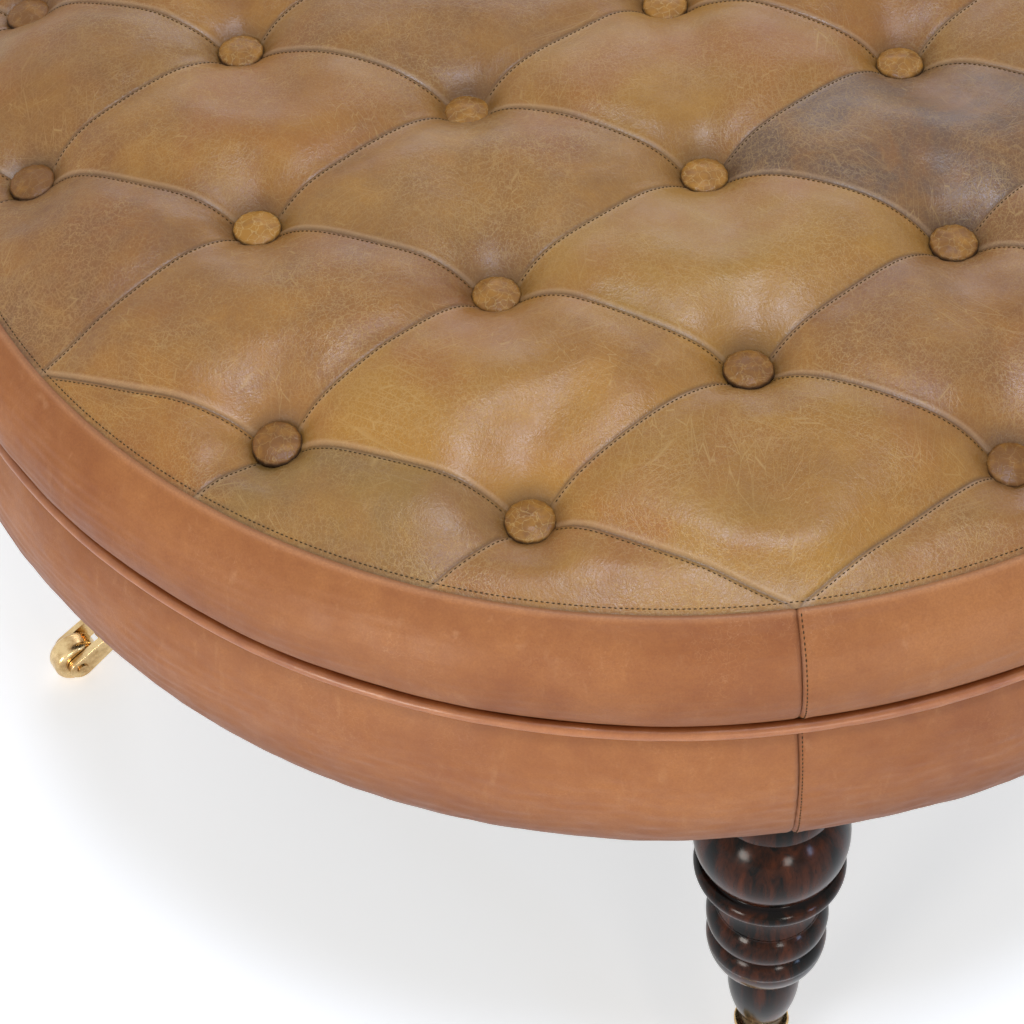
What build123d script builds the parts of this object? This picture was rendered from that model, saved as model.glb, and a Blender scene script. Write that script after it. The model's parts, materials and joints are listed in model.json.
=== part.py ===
from build123d import *
import math
import os

# Round ottoman with a buttoned leather top, two leather side bands with piping between
# them, four turned wooden legs and four brass castors. Millimetres, +Z up, the origin on
# the floor under the middle of the seat. One leg points along -Y.

# Clearances shared by all the pieces
leather_gap = 0.3
seam_gap = 0.4
slip_gap = 0.05
overrun = 5.0

# Leather
leather_thickness = 1.5

# Pattern shared by the legs and the side bands
leg_count = 4
first_leg_angle = -90.0

# Body, from its underside up to the rim seam, and the crown over the seam
seam_radius = 350.0
body_height = 151.0
crown_rise = 36.0
shoulder_width = 105.0
shoulder_drop = 5.0

# Buttons and the dimples that they pull into the seat
spacings_across_radius = 3
button_rim_margin = 35.0
button_radius = 10.8
button_height = 6.6
button_dome = 2.3
button_shank_radius = 2.5
button_shank_length = 4.5
button_lap = 0.5
button_sink_middle = 15.0
button_sink_rim = 10.5
dimple_seat_radius = 8.0
dimple_reach_share = 0.48
dimple_round_share = 0.714
dimple_lip = 0.6
twine_radius = 0.9
twine_hole_radius = 4.5
toggle_radius = 7.0
toggle_thickness = 2.5
knot_radius = 2.0
knot_height = 3.0

# Upper band: its bulge beyond and under the rim seam, its tuck inside and under the
# bulge, and the piping in the tuck
upper_bulge_reach = 21.9
upper_bulge_drop = 38.5
upper_tuck_depth = 8.1
upper_tuck_drop = 18.7
upper_strip_drop = 14.0
welt_radius = 3.1
welt_cord_radius = 2.0

# Lower band: its bulge beyond the rim seam, its turn and its edge inside the bulge, and
# their heights over the body's underside
lower_bulge_reach = 24.2
lower_bulge_rise = 51.0
lower_turn_depth = 1.4
lower_turn_rise = 27.0
lower_edge_depth = 17.2
hem_width = 19.0

# Wooden frame of the base
deck_thickness = 18.0
deck_hole_radius = 3.0
edge_padding = 7.0
hoop_thickness = 9.0
base_ring_thickness = 18.0
base_ring_width = 80.0
padding_lap = 7.0
rail_width = 25.0
rail_place_share = 1.5
block_clearance = 6.3
block_depth = 58.0
post_side = 40.0
post_angle = 30.0

# Screws of the frame
screw_radius = 2.0
screw_head_radius = 4.0
screw_head_height = 3.0
screw_bite_share = 0.39
block_screw_depth_share = 0.67
block_screw_offset_share = 0.333

# Dust cover and its staples
dust_cover_thickness = 0.6
dust_cover_lap = 8.0
staple_count = 24
staple_crown = 10.0
staple_wire = 0.8
staple_leg = 8.0

# Legs
leg_inset = 31.0
leg_length = 240.4
leg_radius = 36.8
leg_collar_radius = 30.0
leg_collar_height = 19.0
leg_collar_round = 2.0
leg_groove_depth = 1.5
# Each turned bead or cove: its top and its bottom, as shares of the leg's length from the
# top, then its radius at the top, in the middle and at the bottom, as shares of leg_radius
leg_bead_shares = [
    (0.087, 0.274, 0.700, 0.995, 0.870),
    (0.284, 0.335, 0.860, 0.978, 0.830),
    (0.342, 0.445, 0.740, 0.665, 0.690),
    (0.445, 0.523, 0.690, 0.800, 0.755),
    (0.532, 0.669, 0.745, 0.800, 0.503),
    (0.676, 0.867, 0.451, 0.480, 0.350),
]

# Bolts that hold the legs
bolt_radius = 4.0
bolt_in_leg = 40.0
bolt_in_frame = 36.0
t_nut_barrel_radius = 5.5
t_nut_barrel_length = 12.0
t_nut_flange_radius = 11.0
t_nut_flange_thickness = 1.6

# Castors
castor_headroom = 6.0
cup_base_thickness = 4.0
cup_height = 26.0
cup_outer_radius = 12.8
cup_wall = 1.5
cup_lip_reach = 1.2
cup_lip_height = 3.0
cup_round = 1.5
cup_screw_radius = 1.2
cup_screw_length = 8.0
cup_screw_head_radius = 2.2
cup_screw_head_height = 1.0
cup_screw_count = 3
cup_screw_height_share = 0.6
washer_thickness = 0.9
washer_radius = 9.0
stem_radius = 4.0
rivet_radius = 6.0
rivet_height = 2.3
rivet_clearance = 1.7
castor_trail_angle = -155.0
horn_head_radius = 10.0
horn_head_height = 10.0
horn_arm_thickness = 4.2
horn_neck_radius = 6.2
horn_boss_radius = 7.6
horn_round = 1.2
wheel_radius = 14.0
wheel_width = 14.0
wheel_round = 4.0
wheel_side_gap = 0.4
wheel_clearance = 1.0
axle_radius = 2.0
axle_head_radius = 3.4
axle_head_height = 1.0

# Castors and legs, from the floor up
castor_trail = horn_head_radius + wheel_clearance + wheel_radius
fork_half_width = wheel_width / 2 + wheel_side_gap
cup_bottom = 2 * wheel_radius + castor_headroom
horn_top = cup_bottom - washer_thickness - slip_gap
cup_floor = cup_bottom + cup_base_thickness
cup_top = cup_bottom + cup_height
cup_lip_radius = cup_outer_radius + cup_lip_reach
cup_bore_radius = cup_outer_radius - cup_wall
ankle_radius = cup_bore_radius - slip_gap
leg_bottom = cup_floor + rivet_height + rivet_clearance
leg_top = leg_bottom + leg_length

# Heights of the body
dust_cover_bottom = leg_top
body_bottom = dust_cover_bottom + dust_cover_thickness
seam_height = body_bottom + body_height
crown_top = seam_height + crown_rise
upper_bulge_height = seam_height - upper_bulge_drop
upper_tuck_height = upper_bulge_height - upper_tuck_drop
lower_bulge_height = body_bottom + lower_bulge_rise
lower_turn_height = body_bottom + lower_turn_rise
deck_top = upper_tuck_height
deck_bottom = deck_top - deck_thickness
base_ring_bottom = body_bottom + leather_thickness
base_ring_top = base_ring_bottom + base_ring_thickness
frame_height = deck_bottom - base_ring_top

# Radii of the body
shoulder_radius = seam_radius - shoulder_width
upper_bulge_radius = seam_radius + upper_bulge_reach
hem_radius = upper_bulge_radius - upper_tuck_depth
deck_radius = hem_radius - leather_gap - leather_thickness
lower_bulge_radius = seam_radius + lower_bulge_reach
lower_turn_radius = lower_bulge_radius - lower_turn_depth
lower_edge_radius = lower_bulge_radius - lower_edge_depth
hem_inner_radius = lower_edge_radius - hem_width
dust_cover_radius = hem_inner_radius + dust_cover_lap
leg_circle_radius = lower_edge_radius - leg_inset
frame_radius = lower_edge_radius - edge_padding
hoop_inner_radius = frame_radius - hoop_thickness

# Pattern of the buttons, and the frame and its screws between them
button_spacing = seam_radius / spacings_across_radius
column_pitch = button_spacing * math.cos(math.radians(30))
dimple_reach = dimple_reach_share * button_spacing
dimple_round = dimple_round_share * dimple_reach
rail_place = rail_place_share * column_pitch
block_length = button_spacing - 2 * (toggle_radius + block_clearance)
post_circle_radius = hoop_inner_radius - post_side
block_screw_circle_radius = hoop_inner_radius - block_screw_depth_share * block_depth
block_screw_offset = block_screw_offset_share * block_length
rail_screw_offset = math.sqrt(block_screw_circle_radius ** 2 - rail_place ** 2)
screw_length = deck_thickness + screw_bite_share * frame_height

leg_names = ["front", "right", "back", "left"]
panel_names = ["front_right", "back_right", "back_left", "front_left"]


def section(*edges):
    """A face in the XZ plane, from edges drawn in radius and height."""
    return Plane.XZ * make_face(Sketch() + list(edges))


def turned(*edges):
    """A solid of revolution about the Z axis."""
    return revolve(section(*edges), axis=Axis.Z)


def post(radius, low, high, x=0.0, y=0.0):
    """An upright cylinder between two heights."""
    body = Cylinder(radius, high - low, align=(Align.CENTER, Align.CENTER, Align.MIN))
    return Pos(x, y, low) * body


def ring(outer, inner, low, high):
    """A flat ring between two heights."""
    return post(outer, low, high) - post(inner, low - overrun, high + overrun)


def circle_places(radius, count, first_angle):
    """Evenly spaced places on a circle, with the angle of each."""
    places = []
    for index in range(count):
        angle = first_angle + index * 360 / count
        x = radius * math.cos(math.radians(angle))
        y = radius * math.sin(math.radians(angle))
        places.append((x, y, angle))
    return places


def write(shape, name):
    """Save one sub-part."""
    export_step(shape, f"parts/{name}.step")


# The crown is two tangent arcs in section, a flat one and a shoulder
flat_arc_radius = (shoulder_radius ** 2 + shoulder_drop ** 2) / (2 * shoulder_drop)
shoulder_start_angle = 2 * math.atan2(shoulder_drop, shoulder_radius)
shoulder_chord_x = seam_radius - shoulder_radius
shoulder_chord_z = crown_rise - shoulder_drop
shoulder_turn = math.atan2(shoulder_chord_z, shoulder_chord_x) - shoulder_start_angle
shoulder_arc_radius = math.hypot(shoulder_chord_x, shoulder_chord_z) / (2 * math.sin(shoulder_turn))
shoulder_centre_x = shoulder_radius - shoulder_arc_radius * math.sin(shoulder_start_angle)
shoulder_centre_z = crown_top - shoulder_drop - shoulder_arc_radius * math.cos(shoulder_start_angle)


def crown_height(radius):
    """The height of the smooth crown at a distance from the middle."""
    if radius <= shoulder_radius:
        return crown_top - flat_arc_radius + math.sqrt(flat_arc_radius ** 2 - radius ** 2)
    across = radius - shoulder_centre_x
    return shoulder_centre_z + math.sqrt(shoulder_arc_radius ** 2 - across ** 2)


def button_places():
    """The triangular pattern of buttons, centred on one of them."""
    places = []
    step = spacings_across_radius + 1
    for first in range(-2 * step, 2 * step + 1):
        for second in range(-2 * step, 2 * step + 1):
            x = (first + second) * column_pitch
            y = (first - second) * button_spacing / 2
            if math.hypot(x, y) < seam_radius - button_rim_margin:
                places.append((x, y))
    return places


def button_seats():
    """For each button, the place of its seat and the depth of the dimple over it."""
    seats = []
    for x, y in button_places():
        radius = math.hypot(x, y)
        sink = button_sink_middle + (button_sink_rim - button_sink_middle) * radius / seam_radius
        height = crown_height(radius) - sink - button_height
        inner_side = max(radius - dimple_reach, 0)
        seats.append((x, y, height, crown_height(inner_side) + dimple_lip - height))
    return seats


def dimple_slope(depth):
    """The slope, in radians, of a dimple's straight wall under its rounded top."""
    across = dimple_reach - dimple_seat_radius
    rise = depth - dimple_round
    return math.atan2(rise, across) + math.asin(dimple_round / math.hypot(across, rise))


def dimple_section(depth):
    """Half the section of a dimple's tool, in radius and in height over its seat."""
    slope = dimple_slope(depth)
    top = depth + overrun
    wall_top = (
        dimple_reach - dimple_round * math.sin(slope),
        depth - dimple_round * (1 - math.cos(slope)),
    )
    rounded = TangentArc((dimple_reach, depth), wall_top, tangent=(-1, 0))
    rest = Polyline(
        (dimple_reach, depth),
        (dimple_reach, top),
        (0, top),
        (0, 0),
        (dimple_seat_radius, 0),
        wall_top,
    )
    return make_face([rounded, *rest.edges()])


def crown_block(low):
    """The crown, with its middle dimple, over a plain block that reaches past the rim."""
    flat = TangentArc((0, crown_top), (shoulder_radius, crown_top - shoulder_drop), tangent=(1, 0))
    fall = TangentArc(flat @ 1, (seam_radius, seam_height), tangent=flat % 1)
    past = fall @ 1 + (fall % 1) * overrun
    rest = Polyline(fall @ 1, past, (past.X, low), (0, low), (0, crown_top))
    half = make_face([flat, fall, *rest.edges()])
    for x, y, height, depth in button_seats():
        if math.hypot(x, y) < button_radius:
            half = half - Pos(0, height) * dimple_section(depth)
    return revolve(Plane.XZ * half, axis=Axis.Z)


def tufted_block(low):
    """The crown with all its dimples."""
    tools = []
    for x, y, height, depth in button_seats():
        if math.hypot(x, y) > button_radius:
            tools.append(Pos(x, y, height) * revolve(Plane.XZ * dimple_section(depth), axis=Axis.Z))
    return crown_block(low) - tools


def shank_holes(radius):
    """Holes through the leather under the buttons."""
    return [
        post(radius, height - button_shank_length, height + button_shank_length, x, y)
        for x, y, height, depth in button_seats()
    ]


# The two arcs of the upper band in section, and the slope of its end at the rim seam
upper_high_dx = upper_bulge_radius - seam_radius
upper_high_arc_radius = math.hypot(upper_high_dx, upper_bulge_drop) ** 2 / (2 * upper_high_dx)
rim_slope = (upper_high_arc_radius - upper_high_dx) / upper_bulge_drop
upper_low_arc_radius = math.hypot(upper_tuck_depth, upper_tuck_drop) ** 2 / (2 * upper_tuck_depth)
upper_low_centre_x = upper_bulge_radius - upper_low_arc_radius

# The piping lies against the tucked leather and under the upper band's lower arc
welt_circle_radius = hem_radius + leather_gap / 2 + welt_radius
welt_reach = upper_low_arc_radius + welt_radius + leather_gap / 2
welt_height = upper_bulge_height - math.sqrt(
    welt_reach ** 2 - (welt_circle_radius - upper_low_centre_x) ** 2
)

# The lower band's top edge lies against the underside of the piping
lower_top_radius = hem_radius + leather_gap + leather_thickness
lower_top_height = welt_height - math.sqrt(
    (welt_radius + leather_gap / 2) ** 2 - (lower_top_radius - welt_circle_radius) ** 2
)


def seat_top_cover(tufted):
    """The leather of the seat's top, mitred against the end of the upper band at the rim."""
    low = upper_bulge_height
    high = crown_top + overrun
    edge = seam_radius - leather_gap
    inside = Cone(
        edge - rim_slope * (seam_height - low),
        edge + rim_slope * (high - seam_height),
        high - low,
        align=(Align.CENTER, Align.CENTER, Align.MIN),
    )
    skin = tufted - Pos(0, 0, -leather_thickness) * tufted
    return (skin & Pos(0, 0, low) * inside) - shank_holes(button_shank_radius + leather_gap)


def upper_outline():
    """The upper band's outer line, from its hidden strip up to the rim seam."""
    strip_bottom = upper_tuck_height - upper_strip_drop
    bulge = (upper_bulge_radius, upper_bulge_height)
    strip = Line((hem_radius, strip_bottom), (hem_radius, upper_tuck_height))
    low = TangentArc(bulge, (hem_radius, upper_tuck_height), tangent=(0, -1))
    high = TangentArc(bulge, (seam_radius, seam_height), tangent=(0, 1))
    return Wire([strip, low, high])


def lower_outline():
    """The lower band's outer line, from under the piping down to the hem."""
    bulge = (lower_bulge_radius, lower_bulge_height)
    high = TangentArc(bulge, (lower_top_radius, lower_top_height), tangent=(0, 1))
    low = TangentArc(bulge, (lower_turn_radius, lower_turn_height), tangent=(0, -1))
    turn = TangentArc(low @ 1, (lower_edge_radius, body_bottom), tangent=low % 1)
    hem = Line(turn @ 1, (hem_inner_radius, body_bottom))
    return Wire([high, low, turn, hem])


def inward(outline, distance, closed):
    """The line moved in towards the middle, or the strip between the two lines."""
    return offset(outline, amount=distance, side=Side.LEFT, closed=closed)


def band_panels(outline):
    """One band of leather, cut into equal panels whose seams stand over the legs."""
    strip = Plane.XZ * make_face(inward(outline, leather_thickness, True))
    gap_angle = math.degrees(seam_gap / upper_bulge_radius)
    panel = revolve(strip, axis=Axis.Z, revolution_arc=360 / leg_count - gap_angle)
    panels = []
    for index in range(leg_count):
        panels.append(Rot(0, 0, first_leg_angle + index * 360 / leg_count + gap_angle / 2) * panel)
    return panels


def cushion_core(tufted):
    """The foam under the crown and inside the upper band, with holes for the twines."""
    gap = leather_thickness + leather_gap
    outline = upper_outline()
    low = upper_tuck_height - upper_strip_drop
    high = crown_top + overrun
    rest = Polyline(
        (seam_radius, seam_height),
        (seam_radius, high),
        (0, high),
        (0, low),
        (hem_radius, low),
    )
    inside = turned(*outline.edges(), *rest.edges())
    skin = revolve(Plane.XZ * make_face(inward(outline, gap, True).edges()), axis=Axis.Z)
    core = Pos(0, 0, -gap) * tufted & inside
    core = core - skin - post(2 * seam_radius, 0, deck_top)
    holes = []
    for x, y, height, depth in button_seats():
        holes.append(post(twine_hole_radius, deck_top - overrun, height + overrun, x, y))
    return core - holes


def padding_strips():
    """Padding between the frame and the lower band, one strip behind each panel."""
    outline = lower_outline()
    gap = leather_thickness + leather_gap
    rest = Polyline(
        (hem_inner_radius, body_bottom),
        (0, body_bottom),
        (0, lower_top_height),
        (lower_top_radius, lower_top_height),
    )
    face = make_face(outline.edges() + rest.edges())
    face = face - make_face(inward(outline, gap, True).edges())
    low_inside = frame_radius + leather_gap
    high_inside = hem_radius + leather_gap
    high_start = deck_bottom - leather_gap
    top = deck_bottom + padding_lap
    corner = (Align.MIN, Align.MIN)
    face = face - Rectangle(low_inside, high_start + overrun, align=corner)
    face = face - Pos(0, high_start) * Rectangle(high_inside, seam_height, align=corner)
    face = face - Pos(0, top) * Rectangle(2 * seam_radius, seam_height, align=corner)
    gap_angle = math.degrees(seam_gap / frame_radius)
    strip = revolve(Plane.XZ * face, axis=Axis.Z, revolution_arc=360 / leg_count - gap_angle)
    strips = []
    for index in range(leg_count):
        strips.append(Rot(0, 0, first_leg_angle + index * 360 / leg_count + gap_angle / 2) * strip)
    return strips


def piping():
    """The leather tube of the piping, with its butt joint at the front, and its cord."""
    circle = Pos(welt_circle_radius, welt_height)
    tube = circle * Circle(welt_radius) - circle * Circle(welt_cord_radius + slip_gap)
    gap_angle = math.degrees(seam_gap / welt_circle_radius)
    cover = revolve(Plane.XZ * tube, axis=Axis.Z, revolution_arc=360 - gap_angle)
    cord = revolve(Plane.XZ * circle * Circle(welt_cord_radius), axis=Axis.Z)
    return Rot(0, 0, first_leg_angle + gap_angle / 2) * cover, cord


def button():
    """One covered button, with its seat at the origin."""
    steepest = max(dimple_slope(depth) for x, y, height, depth in button_seats())
    edge_bottom = (button_radius - dimple_seat_radius) * math.tan(steepest) + leather_gap
    edge_top = button_height - button_dome
    low = leather_gap / 2
    dome = TangentArc((0, button_height), (button_radius, edge_top), tangent=(1, 0))
    rest = Polyline(
        (button_radius, edge_top),
        (button_radius, edge_bottom),
        (dimple_seat_radius - button_lap, low),
        (0, low),
        (0, button_height),
    )
    shank = post(button_shank_radius, -button_shank_length, low + button_lap)
    return turned(dome, *rest.edges()) + shank


def buttons():
    """All the buttons in their dimples."""
    one = button()
    return [Pos(x, y, height) * one for x, y, height, depth in button_seats()]


def twines_and_toggles():
    """The twine of each button, knotted under a toggle on the underside of the deck."""
    twines = []
    toggles = []
    toggle_bottom = deck_bottom - toggle_thickness
    for x, y, height, depth in button_seats():
        line = post(twine_radius, toggle_bottom - knot_height, height - button_shank_length, x, y)
        knot = post(knot_radius, toggle_bottom - knot_height, toggle_bottom, x, y)
        twines.append(line + knot)
        hole = post(twine_radius + slip_gap, toggle_bottom - overrun, deck_bottom + overrun, x, y)
        toggles.append(post(toggle_radius, toggle_bottom, deck_bottom, x, y) - hole)
    return twines, toggles


def frame_screw_places():
    """Where screws go into the leg blocks, the posts and the ends of the rails."""
    places = []
    for x, y, angle in circle_places(block_screw_circle_radius, leg_count, first_leg_angle):
        for side in (-1, 1):
            lean = math.radians(angle + 90)
            step_x = side * block_screw_offset * math.cos(lean)
            step_y = side * block_screw_offset * math.sin(lean)
            places.append((x + step_x, y + step_y))
    for x, y, angle in post_places():
        places.append((x, y))
    for side in (-1, 1):
        for end in (-1, 1):
            places.append((side * rail_place, end * rail_screw_offset))
    return places


def post_places():
    """The four posts, two each side of the middle."""
    places = []
    for angle in (-post_angle, post_angle, 180 - post_angle, 180 + post_angle):
        x = post_circle_radius * math.cos(math.radians(angle))
        y = post_circle_radius * math.sin(math.radians(angle))
        places.append((x, y, angle))
    return places


def screw(gap):
    """A countersunk screw that points down, its head's top at the origin."""
    slope = Cone(
        screw_radius + gap,
        screw_head_radius + gap,
        screw_head_height,
        align=(Align.CENTER, Align.CENTER, Align.MAX),
    )
    return slope + post(screw_radius + gap, -screw_length - gap, -screw_head_height / 2)


def frame_screws(gap):
    """The frame's screws, down through the deck and up through the base ring."""
    one = screw(gap)
    down = [Pos(x, y, deck_top) * one for x, y in frame_screw_places()]
    up = [Pos(x, y, base_ring_bottom) * Rot(180, 0, 0) * one for x, y in frame_screw_places()]
    return down + up


def leg_bolts(gap):
    """The bolts that join the legs to the frame."""
    bolts = []
    low = leg_top - bolt_in_leg - gap
    high = leg_top + bolt_in_frame + gap
    for x, y, angle in circle_places(leg_circle_radius, leg_count, first_leg_angle):
        bolts.append(post(bolt_radius + gap, low, high, x, y))
    return bolts


def t_nuts(gap):
    """Flanged nuts let into the top of the base ring."""
    nuts = []
    flange_bottom = base_ring_top - t_nut_flange_thickness
    for x, y, angle in circle_places(leg_circle_radius, leg_count, first_leg_angle):
        flange = post(t_nut_flange_radius + gap, flange_bottom - gap, base_ring_top, x, y)
        barrel_bottom = flange_bottom - t_nut_barrel_length
        nuts.append(flange + post(t_nut_barrel_radius + gap, barrel_bottom - gap, base_ring_top, x, y))
    return nuts


def staples(gap):
    """The staples that hold the dust cover, each one turned along the edge."""
    crown_bottom = dust_cover_bottom - staple_wire
    side = staple_wire + 2 * gap
    low = (Align.CENTER, Align.CENTER, Align.MIN)
    crown = Box(side, staple_crown, staple_wire, align=low)
    leg = Box(side, side, staple_leg + staple_wire + gap, align=low)
    reach = (staple_crown - staple_wire) / 2
    one = crown + Pos(0, reach, 0) * leg + Pos(0, -reach, 0) * leg
    circle_radius = (hem_inner_radius + dust_cover_radius) / 2
    first = 180 / staple_count
    return [
        Pos(x, y, crown_bottom) * Rot(0, 0, angle) * one
        for x, y, angle in circle_places(circle_radius, staple_count, first)
    ]


def leg():
    """One turned leg about the Z axis: a collar, beads, a cove and an ankle, with grooves
    between those that don't touch."""
    collar_bottom = leg_top - leg_collar_height
    corner = (leg_collar_radius, collar_bottom + leg_collar_round)
    last = (leg_collar_radius - leg_collar_round, collar_bottom)
    edges = [
        *Polyline((0, leg_top), (leg_collar_radius, leg_top), corner).edges(),
        TangentArc(corner, last, tangent=(0, -1)),
    ]
    for top_share, bottom_share, *radius_shares in leg_bead_shares:
        top = leg_top - top_share * leg_length
        bottom = leg_top - bottom_share * leg_length
        radii = [share * leg_radius for share in radius_shares]
        if last[1] > top:
            groove = (min(last[0], radii[0]) - leg_groove_depth, (last[1] + top) / 2)
            edges.extend(Polyline(last, groove, (radii[0], top)).edges())
        middle = (radii[1], (top + bottom) / 2)
        edges.append(ThreePointArc((radii[0], top), middle, (radii[2], bottom)))
        last = (radii[2], bottom)
    edges.append(TangentArc((ankle_radius, cup_top), last, tangent=(0, 1)))
    tail = Polyline(
        (ankle_radius, cup_top),
        (ankle_radius, leg_bottom),
        (0, leg_bottom),
        (0, leg_top),
    )
    return turned(*edges, *tail.edges())


def castor_cup():
    """The brass cup on a leg's foot, about the Z axis."""
    hole = stem_radius + slip_gap
    lip_bottom = cup_top - cup_lip_height
    low = (cup_outer_radius - cup_round, cup_bottom)
    side = (cup_outer_radius, cup_bottom + cup_round)
    edges = [
        Line((hole, cup_bottom), low),
        TangentArc(low, side, tangent=(1, 0)),
        Line(side, (cup_outer_radius, lip_bottom)),
        ThreePointArc(
            (cup_outer_radius, lip_bottom),
            (cup_lip_radius, (lip_bottom + cup_top) / 2),
            (cup_outer_radius, cup_top),
        ),
    ]
    inside = Polyline(
        (cup_outer_radius, cup_top),
        (cup_bore_radius, cup_top),
        (cup_bore_radius, cup_floor),
        (hole, cup_floor),
        (hole, cup_bottom),
    )
    return turned(*edges, *inside.edges())


def cup_screws(gap):
    """The small screws that hold one cup on its leg."""
    screws = []
    height = cup_bottom + cup_screw_height_share * cup_height
    outward = (Align.CENTER, Align.CENTER, Align.MIN)
    inward_align = (Align.CENTER, Align.CENTER, Align.MAX)
    head = Cylinder(cup_screw_head_radius, cup_screw_head_height, align=outward)
    shank = Cylinder(cup_screw_radius + gap, cup_screw_length + gap, align=inward_align)
    for x, y, angle in circle_places(cup_outer_radius, cup_screw_count, 0):
        screws.append(Pos(x, y, height) * Rot(0, 0, angle) * Rot(0, 90, 0) * (head + shank))
    return screws


def castor_horn():
    """The forked horn with its stem, about the swivel axis, trailing along +X."""
    head = post(horn_head_radius, horn_top - horn_head_height, horn_top)
    neck = Pos(0, horn_top - horn_neck_radius) * Circle(horn_neck_radius)
    boss = Pos(castor_trail, wheel_radius) * Circle(horn_boss_radius)
    outline = make_hull((neck + boss).edges())
    arm = extrude(Plane.XZ * outline, amount=horn_arm_thickness)
    arm = fillet(arm.faces().sort_by(Axis.Y)[0].edges(), horn_round)
    near = Pos(0, -fork_half_width, 0) * arm
    far = mirror(near, about=Plane.XZ)
    rivet_bottom = cup_floor + slip_gap
    stem = post(stem_radius, horn_top - horn_head_height / 2, rivet_bottom)
    rivet = post(rivet_radius, rivet_bottom, rivet_bottom + rivet_height)
    bore = Cylinder(axle_radius + slip_gap, 2 * fork_half_width + 2 * horn_arm_thickness + overrun)
    hole = Pos(castor_trail, 0, wheel_radius) * Rot(90, 0, 0) * bore
    return head + near + far + stem + rivet - hole


def castor_wheel():
    """The rounded wheel on its axle."""
    half = wheel_width / 2
    bore = axle_radius + slip_gap
    flat = wheel_radius - wheel_round
    edges = [
        TangentArc((flat, -half), (wheel_radius, wheel_round - half), tangent=(1, 0)),
        Line((wheel_radius, wheel_round - half), (wheel_radius, half - wheel_round)),
        TangentArc((wheel_radius, half - wheel_round), (flat, half), tangent=(0, 1)),
    ]
    rest = Polyline((flat, half), (bore, half), (bore, -half), (flat, -half))
    return Pos(castor_trail, 0, wheel_radius) * Rot(90, 0, 0) * turned(*edges, *rest.edges())


def castor_axle():
    """The axle, headed over outside both arms."""
    reach = fork_half_width + horn_arm_thickness + slip_gap
    pin = Cylinder(axle_radius, 2 * reach)
    head = Cylinder(axle_head_radius, axle_head_height, align=(Align.CENTER, Align.CENTER, Align.MIN))
    both = pin + Pos(0, 0, reach) * head + Pos(0, 0, -reach - axle_head_height) * head
    return Pos(castor_trail, 0, wheel_radius) * Rot(90, 0, 0) * both


def at_each_leg(solid, turn):
    """Copies of a solid about the four leg axes, each turned the same way."""
    return [
        Pos(x, y, 0) * Rot(0, 0, turn) * solid
        for x, y, angle in circle_places(leg_circle_radius, leg_count, first_leg_angle)
    ]


def write_seat():
    """The cushion: leather, piping, foam, buttons and what ties them down."""
    tufted = tufted_block(deck_top - overrun)
    write(seat_top_cover(tufted), "seat_top_cover")
    write(cushion_core(tufted), "seat_foam")
    for name, panel in zip(panel_names, band_panels(upper_outline())):
        write(panel, f"upper_band_{name}")
    staple_tools = staples(slip_gap)
    for name, panel in zip(panel_names, band_panels(lower_outline())):
        write(panel - staple_tools, f"lower_band_{name}")
    cover, cord = piping()
    write(cover, "welt_cover")
    write(cord, "welt_cord")
    write(Compound(padding_strips()), "band_padding")
    write(Compound(buttons()), "tufting_buttons")
    twines, toggles = twines_and_toggles()
    write(Compound(twines), "button_twines")
    write(Compound(toggles), "twine_toggles")


def write_frame():
    """The wooden frame of the base, its fastenings and the dust cover."""
    screws = frame_screws(slip_gap)
    bolts = leg_bolts(slip_gap)
    nuts = t_nuts(slip_gap)
    staple_tools = staples(slip_gap)
    deck_holes = [
        post(deck_hole_radius, deck_bottom - overrun, deck_top + overrun, x, y)
        for x, y, height, depth in button_seats()
    ]
    write(post(deck_radius, deck_bottom, deck_top) - (deck_holes + screws), "top_deck")
    write(ring(frame_radius, hoop_inner_radius, base_ring_top, deck_bottom), "side_hoop")
    base = ring(frame_radius, frame_radius - base_ring_width, base_ring_bottom, base_ring_top)
    barrels = t_nuts(slip_gap) + leg_bolts(t_nut_barrel_radius - bolt_radius + slip_gap)
    write(base - (barrels + screws + staple_tools), "base_ring")
    inside = post(hoop_inner_radius - slip_gap, base_ring_top, deck_bottom)
    low = (Align.CENTER, Align.CENTER, Align.MIN)
    rail = Box(rail_width, 2 * frame_radius, frame_height, align=low)
    for name, side in (("left", -1), ("right", 1)):
        body = Pos(side * rail_place, 0, base_ring_top) * rail & inside
        write(body - screws, f"deck_rail_{name}")
    block = Box(block_depth, block_length, frame_height, align=(Align.MAX, Align.CENTER, Align.MIN))
    for name, (x, y, angle) in zip(leg_names, circle_places(hoop_inner_radius, leg_count, first_leg_angle)):
        body = Pos(x, y, base_ring_top) * Rot(0, 0, angle) * block & inside
        write(body - (screws + bolts), f"leg_block_{name}")
    upright = Box(post_side, post_side, frame_height, align=low)
    for name, (x, y, angle) in zip(panel_names, post_places()):
        body = Pos(x, y, base_ring_top) * Rot(0, 0, angle) * upright
        write(body - screws, f"deck_post_{name}")
    write(Compound(frame_screws(0)), "frame_screws")
    write(Compound(leg_bolts(0)), "hanger_bolts")
    write(Compound([nut - bolts for nut in t_nuts(0)]), "t_nuts")
    cover = post(dust_cover_radius, dust_cover_bottom, body_bottom)
    write(cover - (bolts + staple_tools), "dust_cover")
    write(Compound(staples(0)), "dust_cover_staples")


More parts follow.
